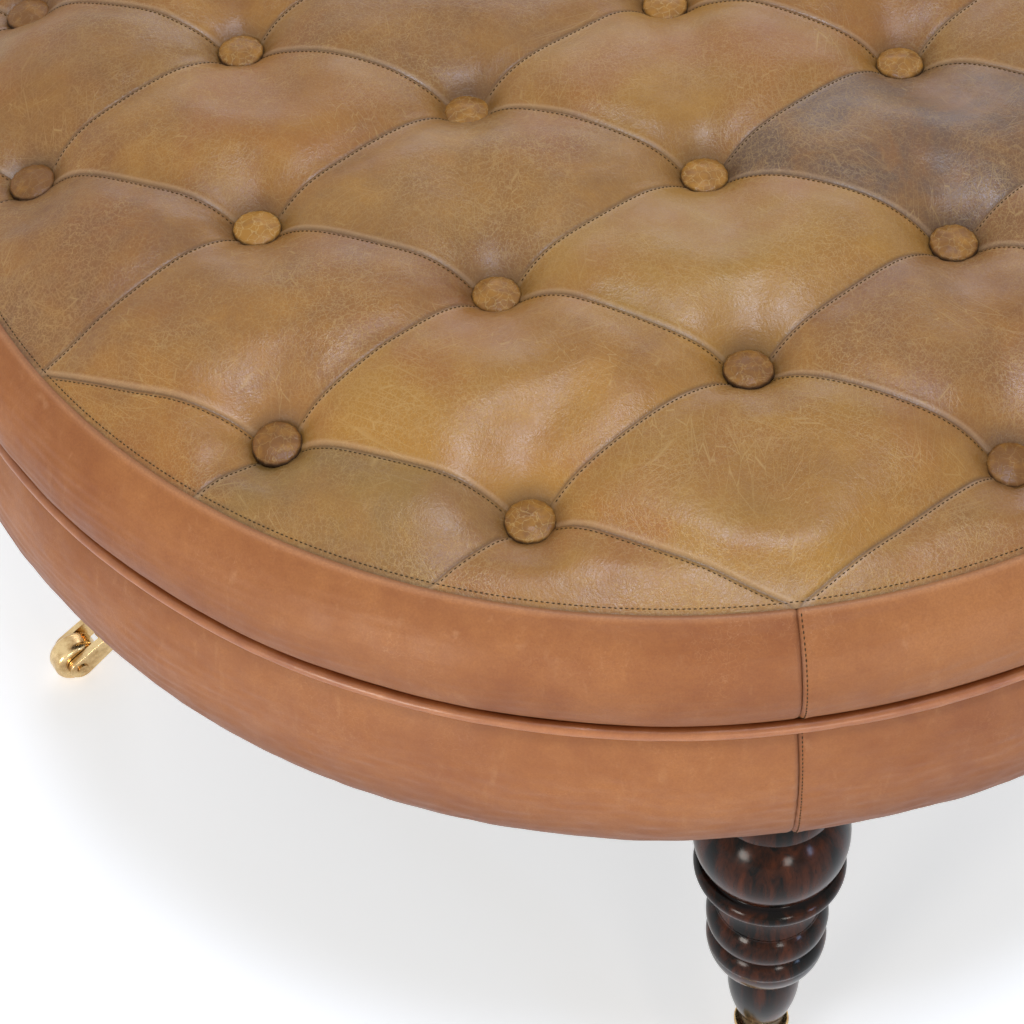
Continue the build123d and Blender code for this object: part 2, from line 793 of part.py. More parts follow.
def write_legs():
    """The legs and their castors."""
    bolts = leg_bolts(slip_gap)
    wood = leg() - cup_screws(slip_gap)
    cup = castor_cup() - cup_screws(slip_gap)
    for name, body in zip(leg_names, at_each_leg(wood, 0)):
        write(body - bolts, f"leg_{name}")
    for name, body in zip(leg_names, at_each_leg(cup, 0)):
        write(body, f"castor_cup_{name}")
    washer = ring(washer_radius, stem_radius + slip_gap, cup_bottom - washer_thickness, cup_bottom)
    write(Compound(at_each_leg(washer, 0)), "castor_washers")
    write(Compound([copy for one in cup_screws(0) for copy in at_each_leg(one, 0)]), "cup_screws")
    for name, body in zip(leg_names, at_each_leg(castor_horn(), castor_trail_angle)):
        write(body, f"castor_horn_{name}")
    for name, body in zip(leg_names, at_each_leg(castor_wheel(), castor_trail_angle)):
        write(body, f"castor_wheel_{name}")
    for name, body in zip(leg_names, at_each_leg(castor_axle(), castor_trail_angle)):
        write(body, f"castor_axle_{name}")


os.makedirs("parts", exist_ok=True)
write_seat()
write_frame()
write_legs()
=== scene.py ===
import json
import math

import bpy
import numpy as np
from mathutils import Matrix, Vector


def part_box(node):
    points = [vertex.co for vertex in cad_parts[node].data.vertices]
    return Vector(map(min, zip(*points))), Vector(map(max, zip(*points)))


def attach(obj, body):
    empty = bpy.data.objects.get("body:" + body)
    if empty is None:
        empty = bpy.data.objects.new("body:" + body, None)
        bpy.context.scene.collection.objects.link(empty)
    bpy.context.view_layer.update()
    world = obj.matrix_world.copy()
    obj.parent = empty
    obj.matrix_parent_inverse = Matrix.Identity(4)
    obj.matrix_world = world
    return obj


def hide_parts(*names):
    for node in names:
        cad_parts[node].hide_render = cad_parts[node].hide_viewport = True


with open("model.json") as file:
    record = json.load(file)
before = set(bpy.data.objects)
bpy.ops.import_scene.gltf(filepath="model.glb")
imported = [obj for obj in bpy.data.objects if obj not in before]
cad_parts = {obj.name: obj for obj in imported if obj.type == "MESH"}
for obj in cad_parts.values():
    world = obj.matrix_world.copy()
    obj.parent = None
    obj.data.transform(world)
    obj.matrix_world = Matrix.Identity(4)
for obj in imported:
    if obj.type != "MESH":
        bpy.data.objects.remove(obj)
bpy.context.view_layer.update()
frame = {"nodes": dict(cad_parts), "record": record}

mm = 0.001


def cad_side(node, corner, axis):
    """A side of a CAD node's box, rounded to 0.01 mm; corner 0 is its lowest and 1 its highest."""
    return round(getattr(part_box(node)[corner], axis), 5)


# Pattern of the seat
seam_radius = 350 * mm
seam_height = cad_side("upper_band_front_right", 1, "z")
crown_rise = 35 * mm
button_spacing = seam_radius / 3
row_pitch = button_spacing * math.cos(math.radians(30))
button_rim_margin = 35 * mm

# Leather of the top
button_seat = 8 * mm
button_depth_middle = 18.2 * mm
button_depth_rim = 13.6 * mm
pull_reach = 15.5 * mm
valley_depth = 2.4 * mm
valley_width = 9 * mm
groove_depth = 0.7 * mm
groove_width = 0.6 * mm
lap_height = 0.28 * mm
lap_width = 0.55 * mm
lap_offset = 1.1 * mm
rim_reach = 24 * mm
seam_fade = 4 * mm
rim_margin = 1.2 * mm
rim_drop = 0.4 * mm
half_cell_steps = 20

# Unevenness of the top: height, wavelength and seed
top_swells = [(0.9 * mm, 160 * mm, 5), (0.35 * mm, 55 * mm, 6)]

# Painted shade round the buttons, in the seam grooves and at the rim, and the painted highlight with some
# wear on the seams' lapped edges: strength and width
button_shade, button_shade_width, button_shade_radius = 0.75, 5.5 * mm, 9 * mm
seam_shade, seam_shade_width = 0.8, 0.75 * mm
rim_shade, rim_shade_width = 0.5, 1.2 * mm
worn_and_highlit_edge_width = 0.6 * mm

# The leather patches that the photograph shows, by their two row counts: tone, olive and
# dark, each None where it is drawn
patches = {
    (-4, 0): (0.45, 0.10, None),
    (-4, 1): (0.86, 0.95, None),
    # This patch's tone is raised in part to paint the sheen near the rim
    (-4, 2): (0.85, 0.60, None),
    (-3, -1): (0.42, 0.20, None),
    (-3, 0): (0.45, 0.20, None),
    (-3, 1): (0.75, 0.60, 0.20),
    (-3, 2): (0.62, 0.75, 0.20),
    (-3, 3): (0.45, 0.60, None),
    (-2, -2): (0.20, None, 0.60),
    (-2, -1): (0.35, 0.45, None),
    (-2, 0): (0.66, 0.55, None),
    (-2, 1): (0.85, 0.85, 0.10),
    (-2, 2): (0.55, None, None),
    (-1, 0): (0.60, None, None),
    (-1, 1): (0.25, None, 1.00),
    (-1, 2): (None, None, 0.75),
}

# Each kind's name on the mesh, the seed of its draw and the power it is raised to
patch_kinds = [("patch_tone", 3, 1), ("patch_olive", 8, 2), ("patch_dark", 9, 3)]

# Creases that run out from the buttons, and puckers that run in from the rim
crease_height = 0.45 * mm
crease_reach = 17 * mm
crease_counts = (5, 7, 9, 12, 16)
pucker_height = 0.5 * mm
pucker_reach = 13 * mm
pucker_counts = (61, 83, 107, 139, 178)

# Cloth of the top
cloth_steps = 16
cloth_frames = 22
cloth_limit = 3.5 * mm
cloth_slack = 0.016
cloth_pressure = 1.6
cloth_quality = 6
cloth_mass = 0.2
cloth_stiffness = 25
cloth_shear = 10
cloth_bending = 4
cloth_overlap = 2 * mm
seam_hold, seam_hold_width = 0.35, 4 * mm
rim_hold_width = 8 * mm

# Bands and piping
upper_bulge_radius = cad_side("upper_band_front_right", 1, "x")
upper_bulge_height = 395.5 * mm
upper_tuck_radius = 363.9 * mm
upper_tuck_height = cad_side("top_deck", 1, "z")
lower_top_radius = 365.6 * mm
lower_top_height = 372.4 * mm
lower_bulge_radius = 374.1 * mm
lower_bulge_height = 334 * mm
lower_turn_radius = 372.8 * mm
lower_turn_height = 310 * mm
lower_edge_radius = 357 * mm
body_bottom = cad_side("lower_band_front_right", 0, "z")
hem_inner_radius = 338 * mm
welt_radius = 3.1 * mm
welt_circle_radius = 367.1 * mm
welt_height = 375.2 * mm
welt_steps, welt_sides = 900, 20

# Unevenness of the piping: share of its radius, wavelength and seed
welt_swells = [(0.03, 60 * mm, 21), (0.015, 18 * mm, 22)]

# Relief of the bands: depth or height, then place and width
band_wave, band_wave_length = 0.5 * mm, 90 * mm
band_ripple, band_ripple_length = 0.12 * mm, 22 * mm
fold_depth, fold_width = 1.2 * mm, 0.9 * mm
flap_height, flap_offset, flap_width = 0.35 * mm, 2.6 * mm, 1.5 * mm
bead_height, bead_offset, bead_width = 0.9 * mm, 1.5 * mm, 1.3 * mm
tuck_depth, tuck_width = 0.6 * mm, 0.5 * mm
pleat_height, pleat_length, pleat_reach = 0.22 * mm, 6 * mm, 7 * mm
gather_length = 70 * mm

# Seeds and tones of the panels, then painted shade in the folds at the seams, low down and just under the
# piping, and a painted highlight with some wear along the upper band's top edge
upper_seed, upper_tones = 70, [0.85, 0.60, 0.40, 0.50]
lower_seed, lower_tones = 80, [0.30, 0.55, 0.50, 0.55]
fold_shade, fold_shade_width = 0.85, 0.8 * mm
upper_shade, upper_shade_reach = 0.5, 46 * mm
lower_shade, lower_shade_start, lower_shade_reach = 0.95, 38 * mm, 52 * mm
top_edge_shade, top_edge_width = 0.4, 2.0 * mm
pale_edge, pale_edge_offset, pale_edge_width = 0.5, 1.6 * mm, 1.5 * mm

# Stitches
stitch_pitch = 2.3 * mm
stitch_length = 1.45 * mm
stitch_radius = 0.27 * mm
band_stitch_offset = 1.6 * mm
seam_stitch_offset = -1.5 * mm
rim_stitch_offset = 2.2 * mm
seam_end_margin = 3 * mm
stitch_clearance = 0.5 * mm
seam_steps, rim_steps, fewest_steps = 700, 2400, 12

# Buttons: their form, and the seeded draw of how each differs
button_radius = 11.1 * mm
button_height = 6.6 * mm
button_rounding = 2.2 * mm
button_flank_drop = 4.4 * mm
button_shoulder_drop = 1.7 * mm
button_side_drop, button_side_inset = 5.2 * mm, 0.8 * mm
button_foot_height, button_foot_inset = 0.4 * mm, 3 * mm
button_sink = 3.2 * mm
button_lean = math.radians(10)
# Painted shade low on each button, where it sinks into the leather: below this height, fading over this
# reach
button_dark_height, button_dark_reach = 4.5 * mm, 1.3 * mm
button_pleat, button_pleat_reach = 0.12 * mm, 3 * mm
button_dent, button_dent_length, button_dent_share = 0.15 * mm, 9 * mm, 0.9
button_seed = 31

# Legs, with each bead's top and bottom as shares of the leg's length from the top, then
# its radius at the top, in the middle and at the bottom, as shares of leg_radius
leg_circle_radius = 326 * mm
leg_radius = 36.8 * mm
leg_top = cad_side("leg_front", 1, "z")
leg_bottom = cad_side("leg_front", 0, "z")
leg_collar_radius = 30 * mm
leg_collar_height = 19 * mm
leg_collar_round = 2 * mm
leg_groove_depth = 1.5 * mm
leg_groove_shade = 2.2 * mm
leg_bevel, leg_foot_bevel = 0.6 * mm, 0.5 * mm
ankle_radius = 11.25 * mm
cup_top = cad_side("castor_cup_front", 1, "z")
leg_bead_shares = [
    (0.087, 0.274, 0.700, 0.995, 0.870),
    (0.284, 0.335, 0.860, 0.978, 0.830),
    (0.342, 0.445, 0.740, 0.665, 0.690),
    (0.445, 0.523, 0.690, 0.800, 0.755),
    (0.532, 0.574, 0.690, 0.775, 0.795),
    (0.574, 0.669, 0.795, 0.725, 0.503),
    (0.676, 0.867, 0.451, 0.480, 0.350),
]
leg_names = ["front", "right", "back", "left"]
panel_names = ["front_right", "back_right", "back_left", "front_left"]

# Dust cover
cover_hang = 1.6 * mm
cover_rise = 0.2 * mm
cover_ripple, cover_ripple_length = 0.25 * mm, 80 * mm

# Camera, fitted to the rim, the bands and the buttons of the photograph
photo_width = 1024
sensor_width_mm = 36
focal_pixels = 2930
camera_back = 1064.4 * mm
camera_rise = 947.1 * mm
camera_pan = -0.0822
camera_tilt = 0.8877
camera_roll = -0.0618
object_turn = math.radians(-8.8)

# Light and floor
surround_strength = 0.45
floor_glow = 0.45
floor_reach = 5.0
seat_middle = (0, 0, 0.40)
leg_shoulder = (0, -leg_circle_radius, leg_top)

# Lamps: name, place, aim, width and height in metres, power in watts, and colour
lamps = [
    ("overhead", (0.0, -0.75, 2.4), seat_middle, (0.5, 0.40), 23, (0.72, 0.81, 1.0)),
    ("window_left", (-1.75, -1.96, 0.44), leg_shoulder, (0.5, 0.52), 21, (1.0, 0.95, 0.88)),
    ("window_right", (0.46, -2.68, 0.44), leg_shoulder, (0.36, 0.42), 10, (1.0, 0.96, 0.90)),
    ("window_far_right", (1.61, -2.11, 0.44), leg_shoulder, (0.22, 0.5), 6, (0.45, 0.64, 1.0)),
    ("window_back", (0.6, 2.6, 1.9), seat_middle, (2.2, 0.9), 16, (0.82, 0.84, 1.0)),
]


def make_camera():
    """The camera of the photograph."""
    pan, tilt, roll = camera_pan, camera_tilt, camera_roll
    forward = np.array([
        math.sin(pan) * math.cos(tilt),
        math.cos(pan) * math.cos(tilt),
        -math.sin(tilt),
    ])
    level_right = np.array([math.cos(pan), -math.sin(pan), 0])
    level_up = np.cross(level_right, forward)
    right = math.cos(roll) * level_right + math.sin(roll) * level_up
    up = -math.sin(roll) * level_right + math.cos(roll) * level_up
    axes = Matrix([right, up, -forward]).transposed().to_4x4()
    place = Matrix.Translation((0, -camera_back, camera_rise + seam_height))
    data = bpy.data.cameras.new("camera")
    data.sensor_width = sensor_width_mm
    data.lens = sensor_width_mm * focal_pixels / photo_width
    data.clip_start = 0.05
    camera = bpy.data.objects.new("camera", data)
    bpy.context.scene.collection.objects.link(camera)
    camera.matrix_world = Matrix.Rotation(object_turn, 4, "Z") @ place @ axes
    bpy.context.scene.camera = camera


# Small tools for meshes and materials


def mesh_object(name, points, faces, smooth=True):
    """A mesh object from points and faces."""
    data = bpy.data.meshes.new(name)
    data.from_pydata([tuple(p) for p in points], [], [tuple(int(i) for i in f) for f in faces])
    data.update()
    if smooth:
        data.polygons.foreach_set("use_smooth", [True] * len(data.polygons))
    thing = bpy.data.objects.new(name, data)
    bpy.context.scene.collection.objects.link(thing)
    return thing


def grid_faces(rows, columns, closed_columns=False):
    """Quads between neighbouring rows and columns of a grid of points."""
    row = np.arange(rows - 1)[:, None]
    column = np.arange(columns if closed_columns else columns - 1)[None, :]
    following = (column + 1) % columns
    first = row * columns + column
    second = row * columns + following
    third = (row + 1) * columns + following
    fourth = (row + 1) * columns + column
    return np.stack([first, second, third, fourth], axis=-1).reshape(-1, 4)


def as_points(x, y, z):
    """One row for each point, from coordinates that fit each other's shape."""
    return np.stack(np.broadcast_arrays(x, y, z), axis=-1).reshape(-1, 3)


def full_turn(steps):
    """Angles all the way round."""
    return np.linspace(0, 2 * math.pi, steps, endpoint=False)


def quarter(index):
    """The direction of a leg or a seam of the bands, in quarter turns from the front."""
    return math.radians(-90 + 90 * index)


def kept_part(faces, count):
    """The points that some faces use, and those faces renumbered to them."""
    used = np.unique(faces)
    renumber = np.full(count, -1)
    renumber[used] = np.arange(len(used))
    return used, renumber[faces]


def distances(line):
    """The distance of each point of a line from its start, along it."""
    return np.concatenate([[0], np.cumsum(np.linalg.norm(np.diff(line, axis=0), axis=1))])


def read_along(at, along, values):
    """Rows of values, read at distances along a line."""
    return np.stack([np.interp(at, along, column) for column in values.T], axis=-1)


def lathe(name, profile, steps):
    """A surface of revolution about Z, from a profile of radius and height."""
    angles = full_turn(steps)
    radius, height = profile[:, 0][:, None], profile[:, 1][:, None]
    points = as_points(radius * np.cos(angles), radius * np.sin(angles), height)
    return mesh_object(name, points, grid_faces(len(profile), steps, closed_columns=True))


def arc_between(start, end, tangent, steps):
    """Points on the arc from start to end that leaves start along tangent."""
    start, end = np.array(start, float), np.array(end, float)
    tangent = np.array(tangent, float) / np.hypot(*tangent)
    normal = np.array([-tangent[1], tangent[0]])
    chord = end - start
    across = chord @ normal
    if abs(across) < 1e-9:
        return start + np.linspace(0, 1, steps)[:, None] * chord
    radius = (chord @ chord) / (2 * across)
    centre = start + normal * radius
    first = math.atan2(*(start - centre)[::-1])
    last = math.atan2(*(end - centre)[::-1])
    turn = (last - first) % (2 * math.pi)
    if radius < 0:
        turn -= 2 * math.pi
    angles = first + np.linspace(0, 1, steps) * turn
    return centre + abs(radius) * np.stack([np.cos(angles), np.sin(angles)], axis=-1)


def arc_through(start, middle, end, steps):
    """Points on the arc through three points."""
    start, middle, end = (np.array(p, float) for p in (start, middle, end))
    rows = 2 * np.array([middle - start, end - start])
    squares = np.array([middle @ middle - start @ start, end @ end - start @ start])
    centre = np.linalg.solve(rows, squares)
    tangent = np.array([-(start - centre)[1], (start - centre)[0]])
    if tangent @ (middle - start) < 0:
        tangent = -tangent
    return arc_between(start, end, tangent, steps)


def bump_curve(distance, width):
    """A smooth bump of height one."""
    return np.exp(-(distance / width) ** 2)


def smooth_step(value):
    """A smooth rise from 0 to 1."""
    held = np.clip(value, 0, 1)
    return held * held * (3 - 2 * held)


def ripples(x, y, wavelength, seed, count=14):
    """Smooth seeded unevenness of about plus and minus one."""
    random = np.random.RandomState(seed)
    total = np.zeros_like(x)
    for wave in range(count):
        angle = random.uniform(0, 2 * math.pi)
        length = wavelength * random.uniform(0.7, 1.6)
        phase = random.uniform(0, 2 * math.pi)
        total += np.cos(2 * math.pi * (x * math.cos(angle) + y * math.sin(angle)) / length + phase)
    return total / math.sqrt(count / 2)


def set_attribute(thing, name, values):
    """One number per point, for materials to read."""
    attribute = thing.data.attributes.new(name, "FLOAT", "POINT")
    attribute.data.foreach_set("value", np.asarray(values, np.float32))


class Shader:
    """Builds one material out of nodes."""

    def __init__(self, name):
        self.material = bpy.data.materials.new(name)
        self.material.use_nodes = True
        self.tree = self.material.node_tree
        self.surface = self.tree.nodes["Principled BSDF"]
        self.place = self.tree.nodes.new("ShaderNodeTexCoord").outputs["Object"]

    def node(self, kind, inputs=None, **settings):
        """A node with its settings and its inputs, each a value or another node's output."""
        made = self.tree.nodes.new(kind)
        for key, value in settings.items():
            setattr(made, key, value)
        for key, value in (inputs or {}).items():
            self.join(value, made.inputs[key])
        return made

    def join(self, value, socket):
        """Sets a socket, or links an output to it."""
        if isinstance(value, bpy.types.NodeSocket):
            self.tree.links.new(value, socket)
        else:
            socket.default_value = value

    def scaled(self, x, y, z):
        """The object's coordinates, stretched along its axes."""
        inputs = {"Vector": self.place, "Scale": (x, y, z)}
        return self.node("ShaderNodeMapping", inputs).outputs["Vector"]

    def noise(self, scale, detail=4.0, roughness=0.55, distortion=0.0, vector=None):
        """Fractal noise from 0 to 1."""
        inputs = {
            "Vector": vector or self.place,
            "Scale": scale,
            "Detail": detail,
            "Roughness": roughness,
            "Distortion": distortion,
        }
        return self.node("ShaderNodeTexNoise", inputs).outputs["Fac"]

    def turned(self, angle, along, across):
        """The object's coordinates in long cells, turned by an angle in degrees."""
        inputs = {
            "Vector": self.place,
            "Rotation": (0, 0, math.radians(angle)),
            "Scale": (along, across, along),
        }
        return self.node("ShaderNodeMapping", inputs, vector_type="TEXTURE").outputs["Vector"]

    def cracks(self, scale, vector, width):
        """Thin lines between cells: 1 on a line, 0 away from it."""
        inputs = {"Vector": vector, "Scale": scale}
        cells = self.node("ShaderNodeTexVoronoi", inputs, feature="DISTANCE_TO_EDGE")
        return self.ramp(cells.outputs["Distance"], 0.0, width, 1.0, 0.0)

    def warped(self, scale, amount):
        """The object's coordinates, moved about by noise."""
        inputs = {"Vector": self.place, "Scale": scale, "Detail": 3.0}
        colour = self.node("ShaderNodeTexNoise", inputs).outputs["Color"]
        shift = self.vector_math("SUBTRACT", {0: colour, 1: (0.5, 0.5, 0.5)})
        scaled = self.vector_math("SCALE", {0: shift, "Scale": amount})
        return self.vector_math("ADD", {0: self.place, 1: scaled})

    def vector_math(self, operation, inputs):
        """One sum of vectors."""
        return self.node("ShaderNodeVectorMath", inputs, operation=operation).outputs[0]

    def ramp(self, value, low, high, to_low=0.0, to_high=1.0):
        """A value mapped from one range to another, and held there."""
        inputs = {0: value, 1: low, 2: high, 3: to_low, 4: to_high}
        return self.node("ShaderNodeMapRange", inputs, clamp=True).outputs[0]

    def math(self, operation, first, second=0.0):
        """One sum."""
        return self.node("ShaderNodeMath", {0: first, 1: second}, operation=operation).outputs[0]

    def times(self, first, second):
        """One value times another."""
        return self.math("MULTIPLY", first, second)

    def plus(self, first, second):
        """One value plus another."""
        return self.math("ADD", first, second)

    def most(self, first, second):
        """The larger of two values."""
        return self.math("MAXIMUM", first, second)

    def toned(self, blend, tone, amount):
        """A blend moved up or down by a patch's tone."""
        return self.plus(blend, self.times(self.math("SUBTRACT", tone, 0.5), amount))

    def uneven(self, scale, detail, low, high):
        """Noise between two values, for roughness."""
        return self.ramp(self.noise(scale, detail), 0.3, 0.7, low, high)

    def mix(self, factor, first, second):
        """Two colours mixed."""
        return self.node("ShaderNodeMix", {0: factor, 6: first, 7: second}, data_type="RGBA").outputs[2]

    def tint(self, colour, where, amount, shade):
        """A colour turned toward a shade, where a value says and by an amount."""
        return self.mix(self.times(where, amount), colour, shade)

    def attribute(self, name):
        """A number stored on the mesh."""
        return self.node("ShaderNodeAttribute", attribute_name=name).outputs["Fac"]

    def bump(self, height, strength, distance, before=None):
        """Fine relief, on top of relief already made."""
        inputs = {"Height": height, "Strength": strength, "Distance": distance}
        if before is not None:
            inputs["Normal"] = before
        return self.node("ShaderNodeBump", inputs).outputs["Normal"]

    def finish(self, colour, roughness, normal=None, **constants):
        """Joins everything to the surface, and sets what is the same all over on its sockets."""
        self.join(colour, self.surface.inputs["Base Color"])
        self.join(roughness, self.surface.inputs["Roughness"])
        if normal is not None:
            self.join(normal, self.surface.inputs["Normal"])
        for key, value in constants.items():
            self.surface.inputs[key.replace("_", " ")].default_value = value
        return self.material


def rgb(red, green, blue):
    """A colour with full cover."""
    return (red, green, blue, 1.0)


# Materials


def top_leather_material():
    """Aged tan leather: golden and brown patches, mottled, with a net of fine pale creases."""
    s = Shader("aged_tan_leather")
    brown, golden = rgb(0.242, 0.083, 0.011), rgb(0.455, 0.198, 0.023)
    olive, red, umber = rgb(0.325, 0.172, 0.024), rgb(0.325, 0.106, 0.015), rgb(0.122, 0.064, 0.036)
    pale_crease, pale_edge = rgb(0.660, 0.440, 0.170), rgb(0.600, 0.390, 0.220)
    pore, shade_colour = rgb(0.160, 0.066, 0.016), rgb(0.075, 0.038, 0.016)
    clouds = s.noise(8, 4, 0.6, 0.5)
    mottle = s.noise(38, 6, 0.65, 0.4)
    blend = s.plus(s.times(clouds, 0.55), s.times(mottle, 0.45))
    blend = s.toned(blend, s.attribute("patch_tone"), 0.30)
    colour = s.mix(s.ramp(blend, 0.36, 0.64), brown, golden)
    olive_share = s.times(s.attribute("patch_olive"), s.ramp(clouds, 0.35, 0.65, 0.35, 1.0))
    colour = s.mix(olive_share, colour, olive)
    colour = s.tint(colour, s.ramp(s.noise(11, 4, 0.6, 0.4), 0.48, 0.64), 0.60, red)
    shade = s.ramp(s.noise(30, 5, 0.65, 0.5), 0.42, 0.60)
    dark_share = s.times(s.attribute("patch_dark"), s.ramp(shade, 0, 1, 0.50, 0.95))
    colour = s.mix(dark_share, colour, umber)
    patchy = s.ramp(s.noise(15, 3), 0.40, 0.62)
    fine_lines = s.cracks(400, s.warped(260, 0.0055), 0.07)
    broad_lines = s.cracks(150, s.warped(85, 0.017), 0.026)
    worn = s.times(fine_lines, s.ramp(patchy, 0.0, 1.0, 0.22, 0.62))
    worn = s.most(worn, s.times(broad_lines, s.ramp(patchy, 0.0, 1.0, 0.10, 0.70)))
    for angle, patch_scale, hair_length, hair_pitch in (
        (24, 17, 0.026, 0.0042),
        (83, 21, 0.026, 0.0042),
        (141, 19, 0.026, 0.0042),
        (52, 26, 0.014, 0.0026),
        (112, 24, 0.014, 0.0026),
    ):
        hairs = s.cracks(1.0, s.turned(angle, hair_length, hair_pitch), 0.026)
        where = s.ramp(s.noise(patch_scale, 3), 0.50, 0.68, 0.0, 0.75)
        worn = s.most(worn, s.times(hairs, where))
    colour = s.tint(colour, worn, 0.56, pale_crease)
    colour = s.mix(s.ramp(s.noise(1500, 2, 0.6), 0.25, 0.75, 0.0, 0.25), colour, pore)
    # Painted highlight, with some wear, on the raised lapped edge beside each seam
    colour = s.tint(colour, s.attribute("worn_and_highlit_edge"), 0.60, pale_edge)
    # Painted shade round the buttons, in the seam grooves and at the rim
    colour = s.tint(colour, s.attribute("painted_shade"), 0.72, shade_colour)
    roughness = s.plus(s.uneven(55, 4, 0.29, 0.45), s.times(worn, 0.12))
    relief = s.bump(s.noise(800, 3, 0.6), 0.30, 0.0006)
    relief = s.bump(worn, 0.20, 0.0004, relief)
    relief = s.bump(s.noise(150, 4, 0.5), 0.20, 0.0016, relief)
    return s.finish(colour, roughness, relief, Specular_IOR_Level=0.5)


def band_leather_material():
    """Warm orange tan leather of the sides, smoother than the top."""
    s = Shader("warm_tan_leather")
    brown, orange = rgb(0.255, 0.078, 0.020), rgb(0.400, 0.152, 0.043)
    streak, scuff, rubbed_highlight = rgb(0.700, 0.360, 0.165), rgb(0.700, 0.390, 0.200), rgb(0.690, 0.370, 0.195)
    pore, shade_colour = rgb(0.200, 0.064, 0.020), rgb(0.095, 0.028, 0.012)
    blend = s.plus(s.times(s.noise(11, 4, 0.6, 0.5), 0.6), s.times(s.noise(75, 5, 0.65), 0.4))
    blend = s.toned(blend, s.attribute("patch_tone"), 0.30)
    colour = s.mix(s.ramp(blend, 0.32, 0.68), brown, orange)
    streaks = s.ramp(s.noise(1.0, 4, 0.6, 0.6, s.scaled(150, 150, 34)), 0.60, 0.76)
    colour = s.tint(colour, streaks, 0.14, streak)
    creases = s.ramp(s.noise(1.0, 3, 0.5, 0.3, s.scaled(95, 95, 15)), 0.66, 0.80)
    scuffs = s.cracks(280, s.warped(110, 0.014), 0.035)
    scuffs = s.times(scuffs, s.ramp(s.noise(19, 3), 0.50, 0.66))
    worn = s.most(s.times(creases, 0.50), s.times(scuffs, 0.40))
    colour = s.tint(colour, worn, 0.50, scuff)
    # Painted highlight, with some wear, along the raised top edge of the upper band
    colour = s.tint(colour, s.attribute("pale"), 0.50, rubbed_highlight)
    colour = s.mix(s.ramp(s.noise(1000, 3, 0.7), 0.35, 0.70, 0.0, 0.38), colour, pore)
    # Painted shade in the folds at the seams, low down and just under the piping
    colour = s.tint(colour, s.attribute("painted_shade"), 0.78, shade_colour)
    relief = s.bump(s.noise(950, 3, 0.6), 0.24, 0.0005)
    relief = s.bump(worn, 0.15, 0.0004, relief)
    relief = s.bump(s.noise(120, 4, 0.5), 0.14, 0.0014, relief)
    return s.finish(colour, s.uneven(70, 4, 0.46, 0.60), relief, Specular_IOR_Level=0.34)


def piping_material():
    """The same leather as the sides, polished by wear."""
    s = Shader("piping_leather")
    brown, orange, pore = rgb(0.320, 0.098, 0.028), rgb(0.460, 0.170, 0.054), rgb(0.150, 0.048, 0.016)
    colour = s.mix(s.ramp(s.noise(60, 5, 0.6), 0.3, 0.7), brown, orange)
    colour = s.mix(s.ramp(s.noise(1300, 2), 0.35, 0.75, 0.0, 0.2), colour, pore)
    relief = s.bump(s.noise(700, 3, 0.6), 0.18, 0.0005)
    return s.finish(colour, s.uneven(80, 3, 0.28, 0.40), relief, Specular_IOR_Level=0.55)


def button_leather_material():
    """Leather stretched over the buttons, with a few coarse creases."""
    s = Shader("button_leather")
    brown, golden = rgb(0.210, 0.084, 0.017), rgb(0.440, 0.200, 0.030)
    pale_crease, shade_colour = rgb(0.680, 0.440, 0.160), rgb(0.030, 0.018, 0.012)
    tone = s.attribute("patch_tone")
    blend = s.toned(s.noise(150, 4, 0.6), tone, 0.5)
    colour = s.mix(s.ramp(blend, 0.3, 0.75), brown, golden)
    lines = s.cracks(230, s.warped(160, 0.007), 0.05)
    colour = s.mix(s.times(lines, s.ramp(tone, 0, 1, 0.12, 0.60)), colour, pale_crease)
    # Painted shade round the foot of each button
    colour = s.tint(colour, s.attribute("painted_shade"), 0.88, shade_colour)
    relief = s.bump(s.noise(900, 3, 0.6), 0.25, 0.0005)
    relief = s.bump(lines, 0.25, 0.0005, relief)
    return s.finish(colour, s.uneven(200, 3, 0.34, 0.48), relief, Specular_IOR_Level=0.35)


def thread_material():
    """Dark twisted thread of the stitches."""
    s = Shader("dark_thread")
    colour = s.mix(s.noise(2600, 2), rgb(0.022, 0.013, 0.005), rgb(0.085, 0.048, 0.016))
    return s.finish(colour, 0.80, s.bump(s.noise(4000, 2), 0.4, 0.0002), Specular_IOR_Level=0.2)


def leg_material():
    """Dark polished mahogany with a red glow in the grain, and painted shade that is near black in the
    grooves.
    """
    s = Shader("dark_mahogany")
    black, red_brown = rgb(0.003, 0.002, 0.001), rgb(0.110, 0.025, 0.006)
    pore, groove = rgb(0.006, 0.003, 0.002), rgb(0.005, 0.003, 0.003)
    grain = s.noise(1.0, 6, 0.65, 1.2, s.scaled(150, 150, 11))
    flame = s.noise(1.0, 4, 0.6, 1.8, s.scaled(34, 34, 9))
    blend = s.plus(s.times(grain, 0.45), s.times(flame, 0.55))
    colour = s.mix(s.ramp(blend, 0.45, 0.74), black, red_brown)
    pores = s.ramp(s.noise(1.0, 2, 0.5, 0.0, s.scaled(900, 900, 60)), 0.58, 0.70)
    colour = s.tint(colour, pores, 0.6, pore)
    # Painted shade in the grooves and the cove
    colour = s.tint(colour, s.attribute("painted_groove_shade"), 0.88, groove)
    relief = s.bump(s.noise(55, 3), 0.10, 0.0010)
    return s.finish(colour, s.uneven(90, 3, 0.12, 0.20), relief, IOR=1.22)


